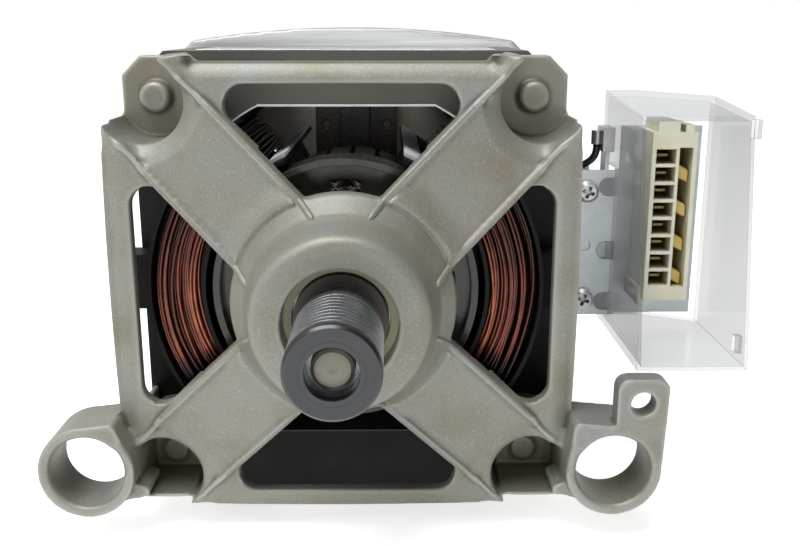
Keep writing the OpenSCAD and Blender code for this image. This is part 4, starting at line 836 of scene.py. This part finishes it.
def front_smoothing(y, r, from_screw, across, out):
    """How much each point is smoothed: fillets, pockets, hub ring, window edges and arm tips, not lips."""
    lip = near(across, ARM_HALF - 2.2, ARM_HALF + 0.2, 0.5) * near(y, FRAME_Y - 12, FRAME_Y, 1)
    hub_ring = near(r, HUB_RING_R - 1.5, HUB_RING_R + 2, 1) * near(y, HUB_FACE_Y, HUB_FACE_Y + 4, 1)
    fillet = near(r, HUB_BASE_R + 0.6, HUB_BASE_R + 4, 1.5) * near(y, FRAME_Y - 12, FRAME_Y - 3, 2)
    pocket = near(from_screw, POCKET_R - 1, POCKET_R + 3, 2) * near(y, FRAME_Y - 4, FRAME_Y + 4, 2)
    bar = near(out, BAR_IN - 2, BAR_IN + 0.8, 0.5) * near(y, FRAME_Y - 2, FRAME_Y + 5, 1)
    tip = near(across, ARM_HALF - 3, ARM_HALF + 2, 1.5) * near(out, BAR_OUT - 3.5, BAR_OUT + 3, 1.5)
    soft = FULL_SMOOTH * np.maximum(np.maximum(fillet, pocket), hub_ring)
    weights = np.maximum(soft, WINDOW_SMOOTH * bar) * (1 - lip)
    return np.maximum(weights, FULL_SMOOTH * tip * (y < FRAME_Y + 8))


def front_casting(metal):
    """Front shield with its cast forms rolled and smoothed, and crisp arm lips."""
    mesh = cast_piece("front_shield", FRONT_VOXEL, metal).data
    at = settled(mesh, places(mesh), FIRST_SMOOTH, FIRST_ROUNDS)
    measures = front_measures(at)
    roll_front(at, *measures)
    weights = front_smoothing(at[:, 1], *measures)
    at = settled(mesh, at, weights[:, None], SMOOTH_ROUNDS)
    place_all(mesh, at)
    # Share of painted shade, from none at the frame's face to full at the lugs behind it.
    depth = np.clip((at[:, 1] - FRAME_Y) / (LUG_Y - FRAME_Y), 0, 1)
    mark_casting(mesh, at, depth, np.zeros(len(at)))


def arm_surface(along):
    """y of the arms' faces at a distance along them."""
    return np.interp(along, (0, ARM_INNER, ARM_OUTER), (FRAME_Y - ARM_RISE, FRAME_Y - ARM_RISE, FRAME_Y))


def arm_beads(metal):
    """Rounded beads along both edges of every arm, from the hub's flare to the corners of the frame."""
    along = np.linspace(BEAD_START, BEAD_END, BEAD_STEPS)
    across = ARM_HALF - BEAD_R
    r = np.hypot(along, across)
    flare_r, flare_y = np.array(HUB_FLARE).T
    y = np.where(r < HUB_BASE_R, np.interp(r, flare_r, flare_y), arm_surface(along))
    taper = np.clip(np.minimum((along - BEAD_START) / BEAD_TIP, (BEAD_END - along) / BEAD_TAPER), 0, 1)
    radius = BEAD_R * (BEAD_THIN + (1 - BEAD_THIN) * np.sin(taper * math.pi / 2))
    y += BEAD_R - radius
    routes = []
    for arm in range(4):
        turn = math.radians(45 + 90 * arm)
        for side in (-across, across):
            x = along * math.cos(turn) - side * math.sin(turn)
            z = along * math.sin(turn) + side * math.cos(turn)
            routes.append(np.stack([x, y, z], 1) * MM)
    tones = [0.0] * len(routes)
    beads = strands_piece("arm_beads", routes, radius * MM, BEAD_SIDES, along_axis, tones, "motor_frame")
    # Hollow mark for the wear and painted highlight on the beads' crests.
    mark(beads.data, "hollow", np.full(len(beads.data.vertices), BEAD_WEAR_AND_HIGHLIGHT))
    metal.over(beads)


def rear_casting(metal):
    """Rear shield, with a polished face on the rim behind the top of the stack that carries painted
    reflection streaks.
    """
    mesh = cast_piece("rear_shield", REAR_VOXEL, metal).data
    at = settled(mesh, places(mesh), FIRST_SMOOTH, FIRST_ROUNDS)
    place_all(mesh, at)
    normals = np.zeros(len(at) * 3)
    mesh.vertex_normals.foreach_get("vector", normals)
    # Painted reflection streaks where the rim faces forward.
    forward = np.clip((-normals[1::3] - RIM_FACING) * RIM_GAIN, 0, 1)
    face = near(at[:, 1], RIM_Y - 2, RIM_Y + 0.6, 0.3) * near(at[:, 2], STACK_TOP - 1, STACK_TOP + 20, 0.3)
    # A little painted shade on the whole rear shield, as it lies deep.
    mark_casting(mesh, at, np.full(len(at), REAR_SHADE), face * forward)


def lock_tongues(nylon):
    """Plug lock with its tongues slanted and rounded as moulded."""
    mesh = cast_piece("socket_lock", LOCK_VOXEL, nylon).data
    at = places(mesh)
    low, high = (np.array(corner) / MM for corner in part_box("socket_lock"))
    in_tongue = np.clip((high[1] - LOCK_BAR - at[:, 1]) / LOCK_BAR, 0, 1)
    at[:, 2] -= LOCK_SLANT * (at[:, 0] - (low[0] + high[0]) / 2) * in_tongue
    place_all(mesh, settled(mesh, at, FULL_SMOOTH, LOCK_ROUNDS))


# Stage

def camera():
    data = bpy.data.cameras.new("camera")
    data.lens = CAMERA_LENS
    data.sensor_width = SENSOR_WIDTH
    data.clip_start = CAMERA_CLIP
    made = bpy.data.objects.new("camera", data)
    made.location = CAMERA_AT
    made.rotation_euler = (math.radians(90 - CAMERA_DOWN), 0, math.radians(CAMERA_TURN))
    bpy.context.scene.collection.objects.link(made)
    bpy.context.scene.camera = made


def lamp(name, at, target, size, watts):
    """Square lamp that shines from a place toward a target."""
    data = bpy.data.lights.new(name, "AREA")
    data.size = size
    data.energy = watts
    made = bpy.data.objects.new(name, data)
    made.location = at
    made.rotation_euler = (Vector(target) - Vector(at)).to_track_quat("-Z", "Y").to_euler()
    bpy.context.scene.collection.objects.link(made)


def seen_level(tree, seen, unseen):
    """Value for what the camera, mirrors and glass see, and another for lighting."""
    path = tree.nodes.new("ShaderNodeLightPath").outputs
    ray = path["Is Camera Ray"]
    for other in ("Is Glossy Ray", "Is Transmission Ray"):
        larger = tree.nodes.new("ShaderNodeMath")
        larger.operation = "MAXIMUM"
        tree.links.new(ray, larger.inputs[0])
        tree.links.new(path[other], larger.inputs[1])
        ray = larger.outputs["Value"]
    level = tree.nodes.new("ShaderNodeMapRange")
    level.inputs["To Min"].default_value = unseen
    level.inputs["To Max"].default_value = seen
    tree.links.new(ray, level.inputs["Value"])
    return level.outputs["Result"]


def studio():
    """White room that lights the motor less from the front right, with three soft lamps."""
    world = bpy.data.worlds.new("studio")
    world.use_nodes = True
    bpy.context.scene.world = world
    tree = world.node_tree
    sky = tree.nodes["Background"]
    toward_dim = tree.nodes.new("ShaderNodeVectorMath")
    toward_dim.operation = "DOT_PRODUCT"
    toward_dim.inputs[1].default_value = DIM_SIDE
    tree.links.new(tree.nodes.new("ShaderNodeTexCoord").outputs["Generated"], toward_dim.inputs[0])
    shade = tree.nodes.new("ShaderNodeMapRange")
    shade.inputs["From Min"].default_value = DIM_START
    shade.inputs["From Max"].default_value = DIM_STOP
    shade.inputs["To Min"].default_value = 1.0
    shade.inputs["To Max"].default_value = DIM_LEVEL
    tree.links.new(toward_dim.outputs["Value"], shade.inputs["Value"])
    whitened = tree.nodes.new("ShaderNodeMath")
    whitened.operation = "MAXIMUM"
    tree.links.new(shade.outputs["Result"], whitened.inputs[0])
    tree.links.new(tree.nodes.new("ShaderNodeLightPath").outputs["Is Camera Ray"], whitened.inputs[1])
    tree.links.new(whitened.outputs["Value"], sky.inputs["Color"])
    tree.links.new(seen_level(tree, 1.0, ROOM_LIGHT), sky.inputs["Strength"])
    for settings in LAMPS:
        lamp(*settings)


def floor():
    """Pale paper under the motor, white where it is seen, which keeps the shadow."""
    bpy.ops.mesh.primitive_plane_add(size=FLOOR_SIZE, location=(0, 0, CAD_BOX[0].z - FLOOR_GAP))
    plane = bpy.context.object
    plane.name = "floor"
    paper = Finish("paper", roughness=0.9, Emission_Color=(1, 1, 1, 1))
    paper.feed(Base_Color=paper.tint(paper.noise(300, 2), (0.9, 0.9, 0.9, 1), (0.93, 0.93, 0.93, 1)),
               Emission_Strength=seen_level(paper.material.node_tree, FLOOR_GLOW, 0.0))
    plane.data.materials.append(paper.material)


def dress_nodes():
    """Finishes of the CAD nodes that stay as they are."""
    laminated_steel().on("stator_core", "armature_core")
    silver_plate().on("rating_plate")
    plastic("black_plastic", srgb(8, 8, 9), srgb(15, 15, 16), 0.6, Specular_IOR_Level=0.25).on(
        "left_bobbin", "right_bobbin", "sensor_cap")
    slot_film().on("slot_liners")
    pulley_steel().on("pulley")
    turned_metal("dark_steel", srgb(60, 56, 53), srgb(84, 79, 75), 0.4).on("pulley_collar", "sensor_magnet")
    turned_metal("shaft_steel", srgb(112, 111, 101), srgb(142, 140, 128), 0.5, 0.01).on("shaft")
    turned_metal("bearing_steel", srgb(180, 180, 178), srgb(206, 206, 204), 0.22).on(
        "front_inner_ring", "rear_inner_ring", "front_outer_ring", "rear_outer_ring", "front_ball_set",
        "rear_ball_set", "front_bearing_shields", "rear_bearing_shields", "wave_washer")
    plastic("seal_rubber", srgb(196, 193, 158), srgb(214, 210, 178), 0.5).on("dust_seal")
    plastic("fan_plastic", srgb(46, 46, 40), srgb(66, 65, 57), 0.2, 3.0, 0.02).on("cooling_fan")
    # Brush holders and commutator hub in near-black resin: painted shade, as they lie deep in the motor.
    plastic("brown_resin_in_painted_shade", srgb(26, 21, 18), srgb(46, 37, 30), 0.3).on(
        "upper_brush_holder", "lower_brush_holder", "commutator_hub")
    turned_metal("commutator_copper", srgb(150, 92, 62), srgb(196, 130, 92), 0.3).on("commutator_bars")
    plastic("carbon", srgb(38, 38, 40), srgb(60, 60, 62), 0.55, 0.3, 0.06).on("upper_brush", "lower_brush")
    sheet_metal("zinc_sheet", srgb(184, 191, 193), srgb(206, 212, 214), 0.45).on("connector_bracket")
    screw_zinc().on("bracket_screws", "through_screws")
    sheet_metal("tin", srgb(150, 152, 150), srgb(186, 187, 184), 0.35).on("earth_terminal")
    # Holder screws in dark zinc: painted shade, as they lie deep in the motor.
    sheet_metal("zinc_in_painted_shade", srgb(66, 66, 63), srgb(96, 95, 90), 0.4).on("holder_screws")
    sheet_metal("brass", srgb(96, 86, 52), srgb(128, 115, 74), 0.35).on("socket_contacts")
    socket_nylon().on("socket_housing")
    plastic("sensor_winding", srgb(200, 196, 182), srgb(220, 217, 206), 0.5).on("sensor_coil")
    clear_plastic().on("connector_hood")


bpy.context.scene.view_settings.view_transform = "Standard"
camera()
earth_lead(plastic("black_insulation", srgb(18, 18, 18), srgb(34, 34, 34), 0.4, edge=0.0))
studio()
floor()
dress_nodes()
METAL = cast_metal()
front_casting(METAL)
arm_beads(METAL)
rear_casting(METAL)
lock_tongues(plastic("yellow_nylon", srgb(216, 184, 88), srgb(234, 212, 140), 0.4, edge=0.0,
                     Subsurface_Weight=0.3, Subsurface_Scale=1.2 * MM))
# The field copper's darkest tone is painted shade, for wire where the strand mark is 0.
field_coils(copper_wire("field_copper", srgb(16, 9, 7), srgb(118, 56, 39), srgb(186, 104, 74)))
# Armature copper: a darker copy of the field copper, painted shade for wire deep in the motor.
armature_heads(copper_wire("armature_copper_in_painted_shade", srgb(20, 12, 10), srgb(40, 24, 19), srgb(66, 40, 31)))
brush_springs(sheet_metal("spring_steel", srgb(150, 150, 146), srgb(190, 190, 186), 0.3))
